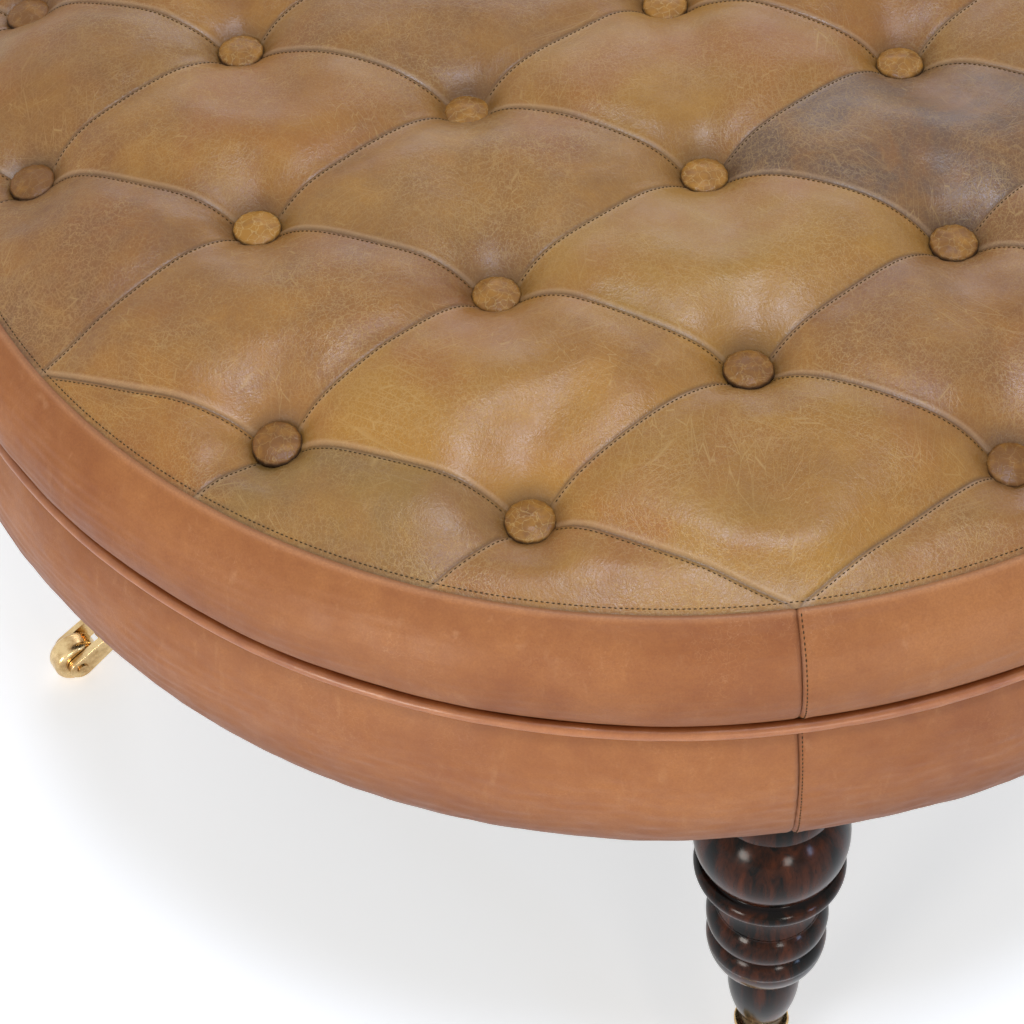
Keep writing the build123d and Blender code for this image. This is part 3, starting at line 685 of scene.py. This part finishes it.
def brass_material():
    """Polished brass, a little aged."""
    s = Shader("aged_brass")
    tarnish = s.ramp(s.noise(120, 5, 0.6), 0.42, 0.72)
    colour = s.mix(tarnish, rgb(0.760, 0.560, 0.290), rgb(0.420, 0.250, 0.100))
    scratches = s.noise(1.0, 3, 0.6, 0.0, s.scaled(900, 900, 120))
    roughness = s.ramp(scratches, 0.3, 0.7, 0.17, 0.32)
    return s.finish(colour, roughness, s.bump(scratches, 0.08, 0.0003), Metallic=1.0)


def steel_material():
    """Plain zinc coated steel of the hidden fastenings."""
    s = Shader("zinc_steel")
    colour = s.mix(s.noise(300, 4), rgb(0.42, 0.43, 0.45), rgb(0.62, 0.62, 0.60))
    return s.finish(colour, s.uneven(500, 3, 0.30, 0.48), Metallic=1.0)


def frame_wood_material():
    """Plain light wood of the hidden frame, with straight grain."""
    s = Shader("frame_wood")
    grain = s.noise(1.0, 6, 0.6, 0.8, s.scaled(28, 160, 160))
    colour = s.mix(s.ramp(grain, 0.3, 0.7), rgb(0.430, 0.270, 0.130), rgb(0.640, 0.460, 0.260))
    return s.finish(colour, s.ramp(grain, 0.3, 0.7, 0.6, 0.78), s.bump(grain, 0.25, 0.0008))


def dust_cloth_material():
    """Thin black woven cloth."""
    s = Shader("black_cambric")
    threads = {"Vector": s.place, "Scale": 420.0}
    across, along = (s.node("ShaderNodeTexWave", threads, bands_direction=axis) for axis in "XY")
    weave = s.times(across.outputs["Fac"], along.outputs["Fac"])
    colour = s.mix(weave, rgb(0.010, 0.010, 0.011), rgb(0.045, 0.044, 0.043))
    return s.finish(colour, 0.85, s.bump(weave, 0.4, 0.0003), Sheen_Weight=0.25)


def cord_material():
    """Pale cotton cord and twine."""
    s = Shader("cotton_cord")
    colour = s.mix(s.noise(900, 4), rgb(0.50, 0.43, 0.31), rgb(0.75, 0.68, 0.54))
    return s.finish(colour, 0.9, s.bump(s.noise(1500, 3), 0.5, 0.0004))


# The tufted top


def from_rows(first, second):
    """The point that lies at two counts of rows."""
    return (first + second) * row_pitch, (first - second) * button_spacing / 2


def to_rows(x, y):
    """The two counts of rows that place a point: whole numbers lie on a seam."""
    return x / (2 * row_pitch) + y / button_spacing, x / (2 * row_pitch) - y / button_spacing


def off_seam(rows):
    """How far a count of rows lies from the seam nearest to it."""
    return (rows - np.round(rows)) * row_pitch


def inward(x, y, reach):
    """A smooth rise from 0 at the rim seam to 1 at a distance inside it."""
    return smooth_step((seam_radius - np.hypot(x, y)) / reach)


def button_places():
    """The places of the buttons, a triangular pattern centred on one of them."""
    places = []
    for first in range(-8, 9):
        for second in range(-8, 9):
            x, y = from_rows(first, second)
            if math.hypot(x, y) < seam_radius - button_rim_margin:
                places.append((x, y))
    return places


def from_button(x, y):
    """The distance from the middle of the nearest button."""
    return np.min([np.hypot(x - bx, y - by) for bx, by in button_places()], axis=0)


def crown_height(radius):
    """The height of the pillows' tops over the rim seam."""
    return crown_rise * (1 - np.clip(radius / seam_radius, 0, 1) ** 6)


def button_depth(radius):
    """How far the leather is pulled down under a button."""
    return button_depth_middle + (button_depth_rim - button_depth_middle) * (radius / seam_radius) ** 2


def top_height(x, y):
    """The height of the seat's leather, before its fine creases."""
    free = inward(x, y, rim_reach)
    pulled = np.zeros_like(x)
    for bx, by in button_places():
        away = np.maximum(np.hypot(x - bx, y - by) - button_seat, 0)
        pulled += button_depth(math.hypot(bx, by)) * np.exp(-away / pull_reach)
    for rows in to_rows(x, y):
        pulled += valley_depth * bump_curve(off_seam(rows), valley_width)
    swell = sum(height * ripples(x, y, length, seed) for height, length, seed in top_swells)
    return seam_height + crown_height(np.hypot(x, y)) - free * pulled + free * swell


def button_creases(x, y):
    """Creases that run out from each button."""
    random = np.random.RandomState(11)
    total = np.zeros_like(x)
    for bx, by in button_places():
        away = np.hypot(x - bx, y - by)
        angle = np.arctan2(y - by, x - bx)
        rays = np.zeros_like(x)
        for count in crease_counts:
            rays += np.cos(count * angle + random.uniform(0, 2 * math.pi)) * random.uniform(0.3, 1)
        total += rays / 2 * np.exp(-np.maximum(away - button_radius, 0) / crease_reach)
    return crease_height * total


def rim_puckers(x, y):
    """Small puckers that run in from the rim seam."""
    random = np.random.RandomState(12)
    angle = np.arctan2(y, x)
    total = np.zeros_like(x)
    for count in pucker_counts:
        total += np.cos(count * angle + random.uniform(0, 2 * math.pi)) * random.uniform(0.5, 1)
    uneven = 0.5 + 0.5 * np.cos(5 * angle + 1) * np.cos(9 * angle)
    return pucker_height * uneven * total * np.exp(-np.abs(seam_radius - np.hypot(x, y)) / pucker_reach)


def seam_relief(x, y):
    """The stitched seams: a fine groove, with the lapped edge standing up beside it."""
    relief = np.zeros_like(x)
    for rows in to_rows(x, y):
        away = off_seam(rows)
        relief -= groove_depth * bump_curve(away, groove_width)
        relief += lap_height * bump_curve(away - lap_offset, lap_width)
    return relief


def surface_height(x, y, rise):
    """The finished leather's height."""
    creases = button_creases(x, y) + rim_puckers(x, y)
    settled = inward(x, y, rim_reach) * (creases + rise(*to_rows(x, y)))
    return top_height(x, y) + settled + seam_relief(x, y) * inward(x, y, seam_fade)


def surface_normal(x, y, rise):
    """The finished leather's upward normal, over a few millimetres."""
    step = 1.5 * mm
    dx = (surface_height(x + step, y, rise) - surface_height(x - step, y, rise)) / (2 * step)
    dy = (surface_height(x, y + step, rise) - surface_height(x, y - step, rise)) / (2 * step)
    normal = np.stack([-dx, -dy, np.ones_like(x)], axis=-1)
    return normal / np.linalg.norm(normal, axis=1)[:, None]


def cell_places():
    """Row counts over the whole seat, close together beside each seam."""
    half = 0.5 * np.linspace(0, 1, half_cell_steps + 1) ** 1.5
    places = []
    for cell in range(-4, 4):
        places.extend(cell + half)
        places.extend(cell + 1 - half[-2:0:-1])
    places.append(4)
    return np.array(places)


def patch_values(first, second, seed, kind):
    """One number for each patch: drawn, or chosen for patches that the photograph shows."""
    table = np.random.RandomState(seed).uniform(0.2, 0.8, (10, 10))
    for (row, column), chosen in patches.items():
        if chosen[kind] is not None:
            table[row + 5, column + 5] = chosen[kind]
    return table[np.floor(first).astype(int) + 5, np.floor(second).astype(int) + 5]


def settled_rise():
    """How far the leather's height changes when it settles as cloth over its buttons, on a
    grid of row counts."""
    places = np.linspace(-4, 4, 8 * cloth_steps + 1)
    first, second = np.meshgrid(places, places, indexing="ij")
    x, y = from_rows(first, second)
    used = np.hypot(x, y) < seam_radius + cloth_overlap
    faces = grid_faces(len(places), len(places))
    kept, faces = kept_part(faces[used.ravel()[faces].all(axis=1)], x.size)
    points = as_points(x, y, top_height(x, y))[kept]
    cloth = mesh_object("settling_leather", points, faces)
    to_seam = np.minimum(abs(off_seam(first)), abs(off_seam(second))).ravel()[kept]
    held = seam_hold * bump_curve(to_seam, seam_hold_width)
    held = np.where(from_button(points[:, 0], points[:, 1]) < button_radius, 1, held)
    held = np.where(np.hypot(points[:, 0], points[:, 1]) > seam_radius - rim_hold_width, 1, held)
    group = cloth.vertex_groups.new(name="held")
    for index in np.flatnonzero(held > 0.01):
        group.add([int(index)], float(held[index]), "REPLACE")
    modifier = cloth.modifiers.new("settling", "CLOTH")
    settings = modifier.settings
    settings.vertex_group_mass = "held"
    settings.quality = cloth_quality
    settings.mass = cloth_mass
    settings.tension_stiffness = cloth_stiffness
    settings.compression_stiffness = cloth_stiffness
    settings.shear_stiffness = cloth_shear
    settings.bending_stiffness = cloth_bending
    settings.shrink_min = -cloth_slack
    settings.use_pressure = True
    settings.uniform_pressure_force = cloth_pressure
    settings.effector_weights.gravity = 0
    modifier.collision_settings.use_collision = False
    modifier.point_cache.frame_end = cloth_frames
    for step in range(1, cloth_frames + 1):
        bpy.context.scene.frame_set(step)
    with bpy.context.temp_override(object=cloth, active_object=cloth):
        bpy.ops.object.modifier_apply(modifier=modifier.name)
    heights = np.array([vertex.co.z for vertex in cloth.data.vertices])
    bpy.context.scene.frame_set(1)
    bpy.data.objects.remove(cloth)
    table = np.zeros(x.size)
    table[kept] = np.clip(heights - points[:, 2], -cloth_limit, cloth_limit)
    table = table.reshape(x.shape)
    for axis in (0, 1):
        table = (np.roll(table, 1, axis) + 2 * table + np.roll(table, -1, axis)) / 4

    def rise(first, second):
        """The change of height at two counts of rows."""
        return curved_lookup(table, (first + 4) * cloth_steps, (second + 4) * cloth_steps)

    return rise


def curved_lookup(table, row, column):
    """Values between a table's rows and columns, by a smooth curve through them."""
    total = np.zeros_like(row)
    low_row, low_column = np.floor(row).astype(int), np.floor(column).astype(int)
    row_part, column_part = row - low_row, column - low_column
    for row_step, row_weight in zip(range(-1, 3), curve_weights(row_part)):
        for column_step, column_weight in zip(range(-1, 3), curve_weights(column_part)):
            near_row = np.clip(low_row + row_step, 0, table.shape[0] - 1)
            near_column = np.clip(low_column + column_step, 0, table.shape[1] - 1)
            total += row_weight * column_weight * table[near_row, near_column]
    return total


def curve_weights(part):
    """The weights of four neighbours on a smooth curve."""
    return (
        ((2 - part) * part - 1) * part / 2,
        ((3 * part - 5) * part * part + 2) / 2,
        ((4 - 3 * part) * part + 1) * part / 2,
        (part - 1) * part * part / 2,
    )


def make_top(rise):
    """The tufted leather of the seat, one mesh with its seams sewn in."""
    places = cell_places()
    first, second = np.meshgrid(places, places, indexing="ij")
    x, y = from_rows(first, second)
    radius = np.hypot(x, y)
    inside = radius < seam_radius - rim_margin
    pull = np.where(inside, 1, seam_radius / np.maximum(radius, seam_radius / 2))
    x, y = x * pull, y * pull
    z = np.where(inside, surface_height(x, y, rise), seam_height - rim_drop)
    faces = grid_faces(len(places), len(places))
    used, faces = kept_part(faces[inside.ravel()[faces].any(axis=1)], x.size)
    points = as_points(x, y, z)[used]
    top = mesh_object("top_leather", points, faces)
    first, second = first.ravel()[used], second.ravel()[used]
    for kind, (name, seed, power) in enumerate(patch_kinds):
        set_attribute(top, name, patch_values(first, second, seed, kind) ** power)
    x, y = points[:, 0], points[:, 1]
    # Painted shade round the buttons, in the seam grooves and at the rim, and a painted highlight with
    # some wear on each seam's lapped edge
    edge = np.zeros(len(points))
    past_button = np.maximum(from_button(x, y) - button_shade_radius, 0)
    dark = button_shade * bump_curve(past_button, button_shade_width)
    for rows in (first, second):
        edge = np.maximum(edge, bump_curve(off_seam(rows) - lap_offset, worn_and_highlit_edge_width))
        dark = np.maximum(dark, seam_shade * bump_curve(off_seam(rows), seam_shade_width))
    dark = np.maximum(dark, rim_shade * bump_curve(seam_radius - np.hypot(x, y), rim_shade_width))
    set_attribute(top, "worn_and_highlit_edge", edge)
    set_attribute(top, "painted_shade", dark)
    return top


# Bands and piping


def upper_profile():
    """The upper band in section, from the rim seam down into the tuck above the piping."""
    bulge = (upper_bulge_radius, upper_bulge_height)
    high = arc_between(bulge, (seam_radius, seam_height), (0, 1), 46)[::-1]
    low = arc_between(bulge, (upper_tuck_radius, upper_tuck_height), (0, -1), 26)
    return np.vstack([high, low[1:]])


def lower_profile():
    """The lower band in section, from under the piping down to the hem's inner edge."""
    bulge = (lower_bulge_radius, lower_bulge_height)
    high = arc_between(bulge, (lower_top_radius, lower_top_height), (0, 1), 40)[::-1]
    low = arc_between(bulge, (lower_turn_radius, lower_turn_height), (0, -1), 20)
    tangent = low[-1] - low[-2]
    turn = arc_between(low[-1], (lower_edge_radius, body_bottom), tangent, 26)
    hem = np.linspace(turn[-1], (hem_inner_radius, body_bottom), 8)
    return np.vstack([high, low[1:], turn[1:], hem[1:]])


def band_angles():
    """Angles across one panel, close together at its two seams."""
    half = np.linspace(0, 1, 70) ** 1.35 * math.pi / 4
    return np.concatenate([half, math.pi / 2 - half[-2::-1]])


def band_lift(arc, down, depth, index, upper):
    """How far a panel stands out of its section, at a distance along it and down it."""
    seed = index + (upper_seed if upper else lower_seed)
    width = math.pi / 2 * upper_bulge_radius
    arc, down = np.broadcast_arrays(arc, down)
    middle = np.sin(math.pi * np.clip(down / depth, 0, 1))
    lift = middle * band_wave * ripples(arc, down, band_wave_length, seed)
    lift += middle * band_ripple * ripples(arc, 4 * down, band_ripple_length, seed + 50)
    lift -= fold_depth * (bump_curve(arc, fold_width) + bump_curve(width - arc, fold_width))
    lift += flap_height * bump_curve(arc - flap_offset, flap_width)
    if upper:
        lift += bead_height * bump_curve(down - bead_offset, bead_width)
        return lift - tuck_depth * bump_curve(down, tuck_width)
    gathered = smooth_step(ripples(arc, 0 * arc, gather_length, seed + 20))
    pleats = ripples(arc, 0.4 * down, pleat_length, seed + 30)
    return lift + pleat_height * gathered * pleats * np.exp(-down / pleat_reach)


def outward_of(profile):
    """The outward directions of a section that runs downward."""
    direction = np.gradient(profile, axis=0)
    direction /= np.linalg.norm(direction, axis=1)[:, None]
    return np.stack([-direction[:, 1], direction[:, 0]], axis=-1)


def make_band(name, index, upper):
    """One panel of a band, gently uneven, folded in at its two seams."""
    profile = upper_profile() if upper else lower_profile()
    tone = upper_tones[index] if upper else lower_tones[index]
    angles = band_angles()
    arc, down = (angles * upper_bulge_radius)[None, :], distances(profile)[:, None]
    lift = band_lift(arc, down, down[-1, 0], index, upper)
    radius, height = (profile[:, k][:, None] + lift * outward_of(profile)[:, k][:, None] for k in (0, 1))
    turn = quarter(index) + angles[None, :]
    points = as_points(radius * np.cos(turn), radius * np.sin(turn), height)
    band = mesh_object(name, points, grid_faces(len(profile), len(angles))[:, ::-1])
    # Painted shade in the folds at the seams, low on each band and just under the piping, and a painted
    # highlight with some wear along the upper band's top edge
    dark = fold_shade * bump_curve(np.minimum(arc, arc[0, -1] - arc), fold_shade_width) + 0 * down
    pale = np.zeros(dark.shape)
    if upper:
        low_down = (down - down[-1] + upper_shade_reach) / upper_shade_reach
        dark = np.maximum(dark, upper_shade * smooth_step(low_down))
        pale = np.maximum(pale, pale_edge * bump_curve(down - pale_edge_offset, pale_edge_width))
    else:
        low_down = (down - lower_shade_start) / lower_shade_reach
        dark = np.maximum(dark, lower_shade * smooth_step(low_down))
        dark = np.maximum(dark, top_edge_shade * bump_curve(down, top_edge_width))
    set_attribute(band, "patch_tone", np.full(dark.size, tone))
    set_attribute(band, "painted_shade", dark.ravel())
    set_attribute(band, "pale", pale.ravel())
    return band


def make_piping():
    """The piping between the bands."""
    around, about = full_turn(welt_steps)[:, None], full_turn(welt_sides)[None, :]
    arc = around * welt_circle_radius
    uneven = sum(share * ripples(arc, 0 * arc, length, seed) for share, length, seed in welt_swells)
    thickness = welt_radius * (1 + uneven)
    radius = welt_circle_radius + thickness * np.cos(about)
    height = welt_height + thickness * np.sin(about)
    points = as_points(radius * np.cos(around), radius * np.sin(around), height)
    faces = grid_faces(welt_steps + 1, welt_sides, closed_columns=True)
    return mesh_object("piping", points, faces % (welt_steps * welt_sides))


# Stitches


def stitch_shape():
    """One stitch along X: rings of points and the faces between them."""
    rings, sides = 5, 6
    along = np.linspace(-1, 1, rings)[:, None]
    width = stitch_radius * np.sqrt(np.maximum(1 - along * along, 0.06))
    angles = full_turn(sides)
    points = as_points(along * stitch_length / 2, width * np.cos(angles), width * np.sin(angles))
    return points, grid_faces(rings, sides, closed_columns=True)


def lay_stitches(line, normals):
    """Stitches along a line of points, each lying on the leather."""
    along = distances(line)
    count = int(along[-1] / stitch_pitch)
    at = (np.arange(count) + 0.5) * along[-1] / count
    centres = read_along(at, along, line)
    step = 0.5 * mm
    forward = read_along(at + step, along, line) - centres
    forward /= np.linalg.norm(forward, axis=1)[:, None]
    side = np.cross(read_along(at, along, normals), forward)
    side /= np.linalg.norm(side, axis=1)[:, None]
    axes = np.stack([forward, side, np.cross(forward, side)], axis=1)
    shape, shape_faces = stitch_shape()
    points = (centres[:, None, :] + shape @ axes).reshape(-1, 3)
    faces = (np.arange(count)[:, None, None] * len(shape) + shape_faces[None]).reshape(-1, 4)
    return points, faces


def join_stitches(name, runs):
    """One mesh of many runs of stitches."""
    points, faces, total = [], [], 0
    for run_points, run_faces in runs:
        points.append(run_points)
        faces.append(run_faces + total)
        total += len(run_points)
    return mesh_object(name, np.vstack(points), np.vstack(faces))


def stitches_on_top(x, y, rise):
    """Stitches on the top, along a line seen from above."""
    line = as_points(x, y, surface_height(x, y, rise))
    return lay_stitches(line, surface_normal(x, y, rise))


def make_seam_stitches(rise):
    """Stitches beside the seams of the top and inside the rim."""
    runs = []
    for angle in (30, -30):
        along = np.array([math.cos(math.radians(angle)), math.sin(math.radians(angle))])
        for row in range(-3, 4):
            distance = row * row_pitch + seam_stitch_offset
            half = math.sqrt((seam_radius - seam_end_margin) ** 2 - distance ** 2)
            steps = np.linspace(-half, half, seam_steps)
            x = along[0] * steps - along[1] * distance
            y = along[1] * steps + along[0] * distance
            clear = from_button(x, y) > button_radius + stitch_clearance
            edges = np.flatnonzero(np.diff(np.concatenate([[0], clear.astype(int), [0]])))
            for low, high in zip(edges[::2], edges[1::2]):
                if high - low > fewest_steps:
                    runs.append(stitches_on_top(x[low:high], y[low:high], rise))
    around = np.linspace(0, 2 * math.pi, rim_steps)
    radius = seam_radius - rim_stitch_offset
    runs.append(stitches_on_top(radius * np.cos(around), radius * np.sin(around), rise))
    return join_stitches("seam_stitches", runs)


def make_band_stitches():
    """Stitches down the four seams of each band."""
    runs = []
    for profile, stop, upper in ((upper_profile(), None, True), (lower_profile(), -9, False)):
        down, outward = distances(profile), outward_of(profile)
        arc = np.full(len(down), band_stitch_offset)
        for index in range(4):
            angle = quarter(index) + band_stitch_offset / upper_bulge_radius
            lift = band_lift(arc, down, down[-1], index, upper) + 0.3 * stitch_radius
            section = profile + lift[:, None] * outward
            out = np.array([[math.cos(angle), math.sin(angle), 0], [0, 0, 1]])
            runs.append(lay_stitches((section @ out)[2:stop], (outward @ out)[2:stop]))
    return join_stitches("band_stitches", runs)


# Buttons


def button_profile():
    """A covered button in section, from its foot up to its middle."""
    flank = (button_radius, button_height - button_flank_drop)
    shoulder = (button_radius - button_rounding, button_height - button_shoulder_drop)
    side = arc_between(flank, shoulder, (0, 1), 9)
    dome = arc_between((0, button_height), shoulder, (1, 0), 12)[::-1]
    foot = (button_radius - button_foot_inset, button_foot_height)
    low_side = (button_radius - button_side_inset, button_height - button_side_drop)
    middle = (0.02 * mm, button_height)
    return np.vstack([foot, low_side, side, dome[1:-1], middle])


def make_buttons():
    """Leather covered buttons, each a little different, leaning outward at the rim."""
    profile, steps = button_profile(), 56
    angles = full_turn(steps)
    faces_one = grid_faces(len(profile), steps, closed_columns=True)
    random = np.random.RandomState(button_seed)
    points, faces, tones, darks = [], [], [], []
    for number, (bx, by) in enumerate(button_places()):
        away = math.hypot(bx, by)
        base = seam_height + crown_height(away) - button_depth(away) + button_sink - button_height
        ring = 1 + 0.012 * np.cos(2 * angles + random.uniform(0, 6))
        ring += 0.006 * np.cos(5 * angles + random.uniform(0, 6))
        radius = profile[:, 0][:, None] * ring
        flank = (profile[:, 0] > button_radius - button_pleat_reach)[:, None]
        pleated = radius + button_pleat * np.cos(14 * angles + random.uniform(0, 6)) * flank
        x, y = pleated * np.cos(angles), pleated * np.sin(angles)
        dented = radius < button_radius * button_dent_share
        dents = button_dent * ripples(x, y, button_dent_length, 40 + number) * dented
        flat = as_points(x, y, profile[:, 1][:, None] + dents)
        lean = button_lean * smooth_step((away / seam_radius - 0.6) / 0.3) + random.uniform(-0.03, 0.03)
        turn = Matrix.Rotation(math.atan2(by, bx), 4, "Z")
        leaning = turn @ Matrix.Rotation(lean, 4, "Y") @ turn.inverted()
        matrix = np.array(Matrix.Translation((bx, by, base)) @ leaning)
        faces.append(faces_one + len(points) * len(flat))
        points.append(flat @ matrix[:3, :3].T + matrix[:3, 3])
        tones.append(np.full(len(flat), random.uniform(0, 1)))
        # Painted shade low on the button, where it sinks into the leather
        darks.append(smooth_step((button_dark_height - flat[:, 2]) / button_dark_reach))
    buttons = mesh_object("covered_buttons", np.vstack(points), np.vstack(faces))
    set_attribute(buttons, "patch_tone", np.concatenate(tones))
    set_attribute(buttons, "painted_shade", np.concatenate(darks))
    return buttons


# Legs


def leg_profile():
    """One turned leg in section, and how much painted groove shade each point gets."""
    length = leg_top - leg_bottom
    collar_bottom = leg_top - leg_collar_height
    last = (leg_collar_radius - leg_collar_round, collar_bottom)
    corner = (leg_collar_radius, collar_bottom + leg_collar_round)
    middle = 0.5 * mm
    points = [(middle, leg_top), (leg_collar_radius - leg_bevel, leg_top)]
    points.extend([(leg_collar_radius, leg_top - leg_bevel), corner])
    points.extend(arc_between(corner, last, (0, -1), 8)[1:])
    painted_groove_shade = [0] * len(points)
    next_tops = [row[0] for row in leg_bead_shares[1:]] + [1]
    for next_top, (top_share, bottom_share, *radius_shares) in zip(next_tops, leg_bead_shares):
        top = leg_top - top_share * length
        bottom = leg_top - bottom_share * length
        radii = [share * leg_radius for share in radius_shares]
        grooves = []
        if last[1] > top:
            depth = min(last[0], radii[0]) - leg_groove_depth
            points.append((depth, (last[1] + top) / 2))
            painted_groove_shade.append(1)
            grooves.append(top)
        if next_top > bottom_share:
            grooves.append(bottom)
        for point in arc_through((radii[0], top), (radii[1], (top + bottom) / 2), (radii[2], bottom), 26):
            points.append(point)
            near = min([abs(point[1] - groove) for groove in grooves] + [leg_groove_shade])
            painted_groove_shade.append(1 - near / leg_groove_shade)
        last = (radii[2], bottom)
    cove = arc_between((ankle_radius, cup_top), last, (0, 1), 18)[::-1]
    points.extend(cove[1:])
    painted_groove_shade.extend([0.3] * (len(cove) - 1))
    points.extend([(ankle_radius, leg_bottom + leg_foot_bevel), (middle, leg_bottom)])
    painted_groove_shade.extend([0, 0])
    return np.array(points), np.array(painted_groove_shade)


def make_legs():
    """The four legs, turned alike, each with its own grain."""
    profile, painted_groove_shade = leg_profile()
    steps = 96
    legs = []
    for index, name in enumerate(leg_names):
        leg = lathe(f"turned_leg_{name}", profile, steps)
        turn = Matrix.Rotation(quarter(index), 4, "Z")
        leg.data.transform(Matrix.Translation(turn @ Vector((leg_circle_radius, 0, 0))))
        set_attribute(leg, "painted_groove_shade", np.repeat(painted_groove_shade, steps))
        legs.append(leg)
    return legs


# Dust cover


def make_dust_cover():
    """Black cloth under the seat, hanging slack towards its middle, with gentle ripples."""
    low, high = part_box("dust_cover")
    rings, steps = 40, 192
    middle, outer = 0.3 * mm, high.x
    radius = np.linspace(middle, outer, rings)[:, None]
    angles = full_turn(steps)[None, :]
    x, y = radius * np.cos(angles), radius * np.sin(angles)
    hang = cover_hang * (1 - (radius / outer) ** 2)
    hang = hang + cover_ripple * ripples(x, y, cover_ripple_length, 61) * (1 - (radius / outer) ** 4)
    faces = grid_faces(rings, steps, closed_columns=True)[:, ::-1]
    points = as_points(x, y, low.z + cover_rise - hang)
    return mesh_object("dust_cover_cloth", points, faces), outer


# Floor, lamps and surround


def seen_rays(tree):
    """1 for rays that show the surroundings: the camera's, and those in gloss and glass."""
    path = tree.nodes.new("ShaderNodeLightPath")
    seen = path.outputs["Is Camera Ray"]
    for kind in ("Is Glossy Ray", "Is Transmission Ray"):
        either = tree.nodes.new("ShaderNodeMath")
        either.operation = "MAXIMUM"
        tree.links.new(seen, either.inputs[0])
        tree.links.new(path.outputs[kind], either.inputs[1])
        seen = either.outputs[0]
    return seen


def make_floor():
    """A plain pale floor."""
    points = [(floor_reach * x, floor_reach * y, 0) for x, y in ((-1, -1), (1, -1), (1, 1), (-1, 1))]
    floor = mesh_object("floor", points, [(0, 1, 2, 3)], smooth=False)
    s = Shader("pale_floor")
    colour = s.mix(s.noise(3, 2), rgb(0.96, 0.96, 0.96), rgb(0.98, 0.98, 0.98))
    s.join(rgb(1, 1, 1), s.surface.inputs["Emission Color"])
    s.join(s.math("MULTIPLY", seen_rays(s.tree), floor_glow), s.surface.inputs["Emission Strength"])
    floor.data.materials.append(s.finish(colour, 0.9, Specular_IOR_Level=0.1))


def make_lamp(name, place, aim, size, power, colour):
    """One soft lamp, a flat square that faces a point."""
    data = bpy.data.lights.new(name, "AREA")
    data.shape = "RECTANGLE"
    data.size, data.size_y = size
    data.energy = power
    data.color = colour
    lamp = bpy.data.objects.new(name, data)
    lamp.visible_camera = False
    bpy.context.scene.collection.objects.link(lamp)
    offset = np.array(aim) - np.array(place)
    back = -offset / np.linalg.norm(offset)
    side = np.cross((0, 0, 1), back)
    side /= np.linalg.norm(side)
    axes = Matrix([side, np.cross(back, side), back]).transposed().to_4x4()
    lamp.matrix_world = Matrix.Translation(place) @ axes


def make_light():
    """Soft light from above, from low windows in front and from behind, and a pale surround."""
    for lamp in lamps:
        make_lamp(*lamp)
    world = bpy.data.worlds.new("surround")
    bpy.context.scene.world = world
    world.use_nodes = True
    tree = world.node_tree
    background = tree.nodes["Background"]
    background.inputs["Color"].default_value = rgb(1, 1, 1)
    strength = tree.nodes.new("ShaderNodeMapRange")
    strength.inputs[3].default_value = surround_strength
    strength.inputs[4].default_value = 1.0
    tree.links.new(seen_rays(tree), strength.inputs[0])
    tree.links.new(strength.outputs[0], background.inputs["Strength"])
    bpy.context.scene.view_settings.view_transform = "Standard"


def paint(thing, material):
    """Gives an object one material."""
    thing.data.materials.clear()
    thing.data.materials.append(material)


make_camera()
make_light()
make_floor()

rise = settled_rise()
top = make_top(rise)
paint(top, top_leather_material())
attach(top, "root")
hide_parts("seat_top_cover", "seat_foam")

band_material = band_leather_material()
for index, name in enumerate(panel_names):
    upper = make_band(f"upper_leather_{name}", index, True)
    lower = make_band(f"lower_leather_{name}", index, False)
    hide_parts(f"upper_band_{name}")
    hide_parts(f"lower_band_{name}")
    for band in (upper, lower):
        paint(band, band_material)
        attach(band, "root")
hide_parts("band_padding")

piping = make_piping()
paint(piping, piping_material())
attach(piping, "root")
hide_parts("welt_cover")

thread = thread_material()
for stitches in (make_seam_stitches(rise), make_band_stitches()):
    paint(stitches, thread)
    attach(stitches, "root")

buttons = make_buttons()
paint(buttons, button_leather_material())
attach(buttons, "root")
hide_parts("tufting_buttons")

wood = leg_material()
for name, leg in zip(leg_names, make_legs()):
    paint(leg, wood)
    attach(leg, "root")
    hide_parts(f"leg_{name}")

cover, cover_radius = make_dust_cover()
paint(cover, dust_cloth_material())
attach(cover, "root")
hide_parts("dust_cover")

node_materials = {
    "brass": brass_material(),
    "steel": steel_material(),
    "frame_wood": frame_wood_material(),
    "twine": cord_material(),
}
node_materials["cotton_cord"] = node_materials["twine"]
slot_of = {row["node"]: row["material_slot"] for row in frame["record"]["subparts"]}
for name, node in frame["nodes"].items():
    if slot_of[name] in node_materials and not node.hide_render:
        paint(node, node_materials[slot_of[name]])
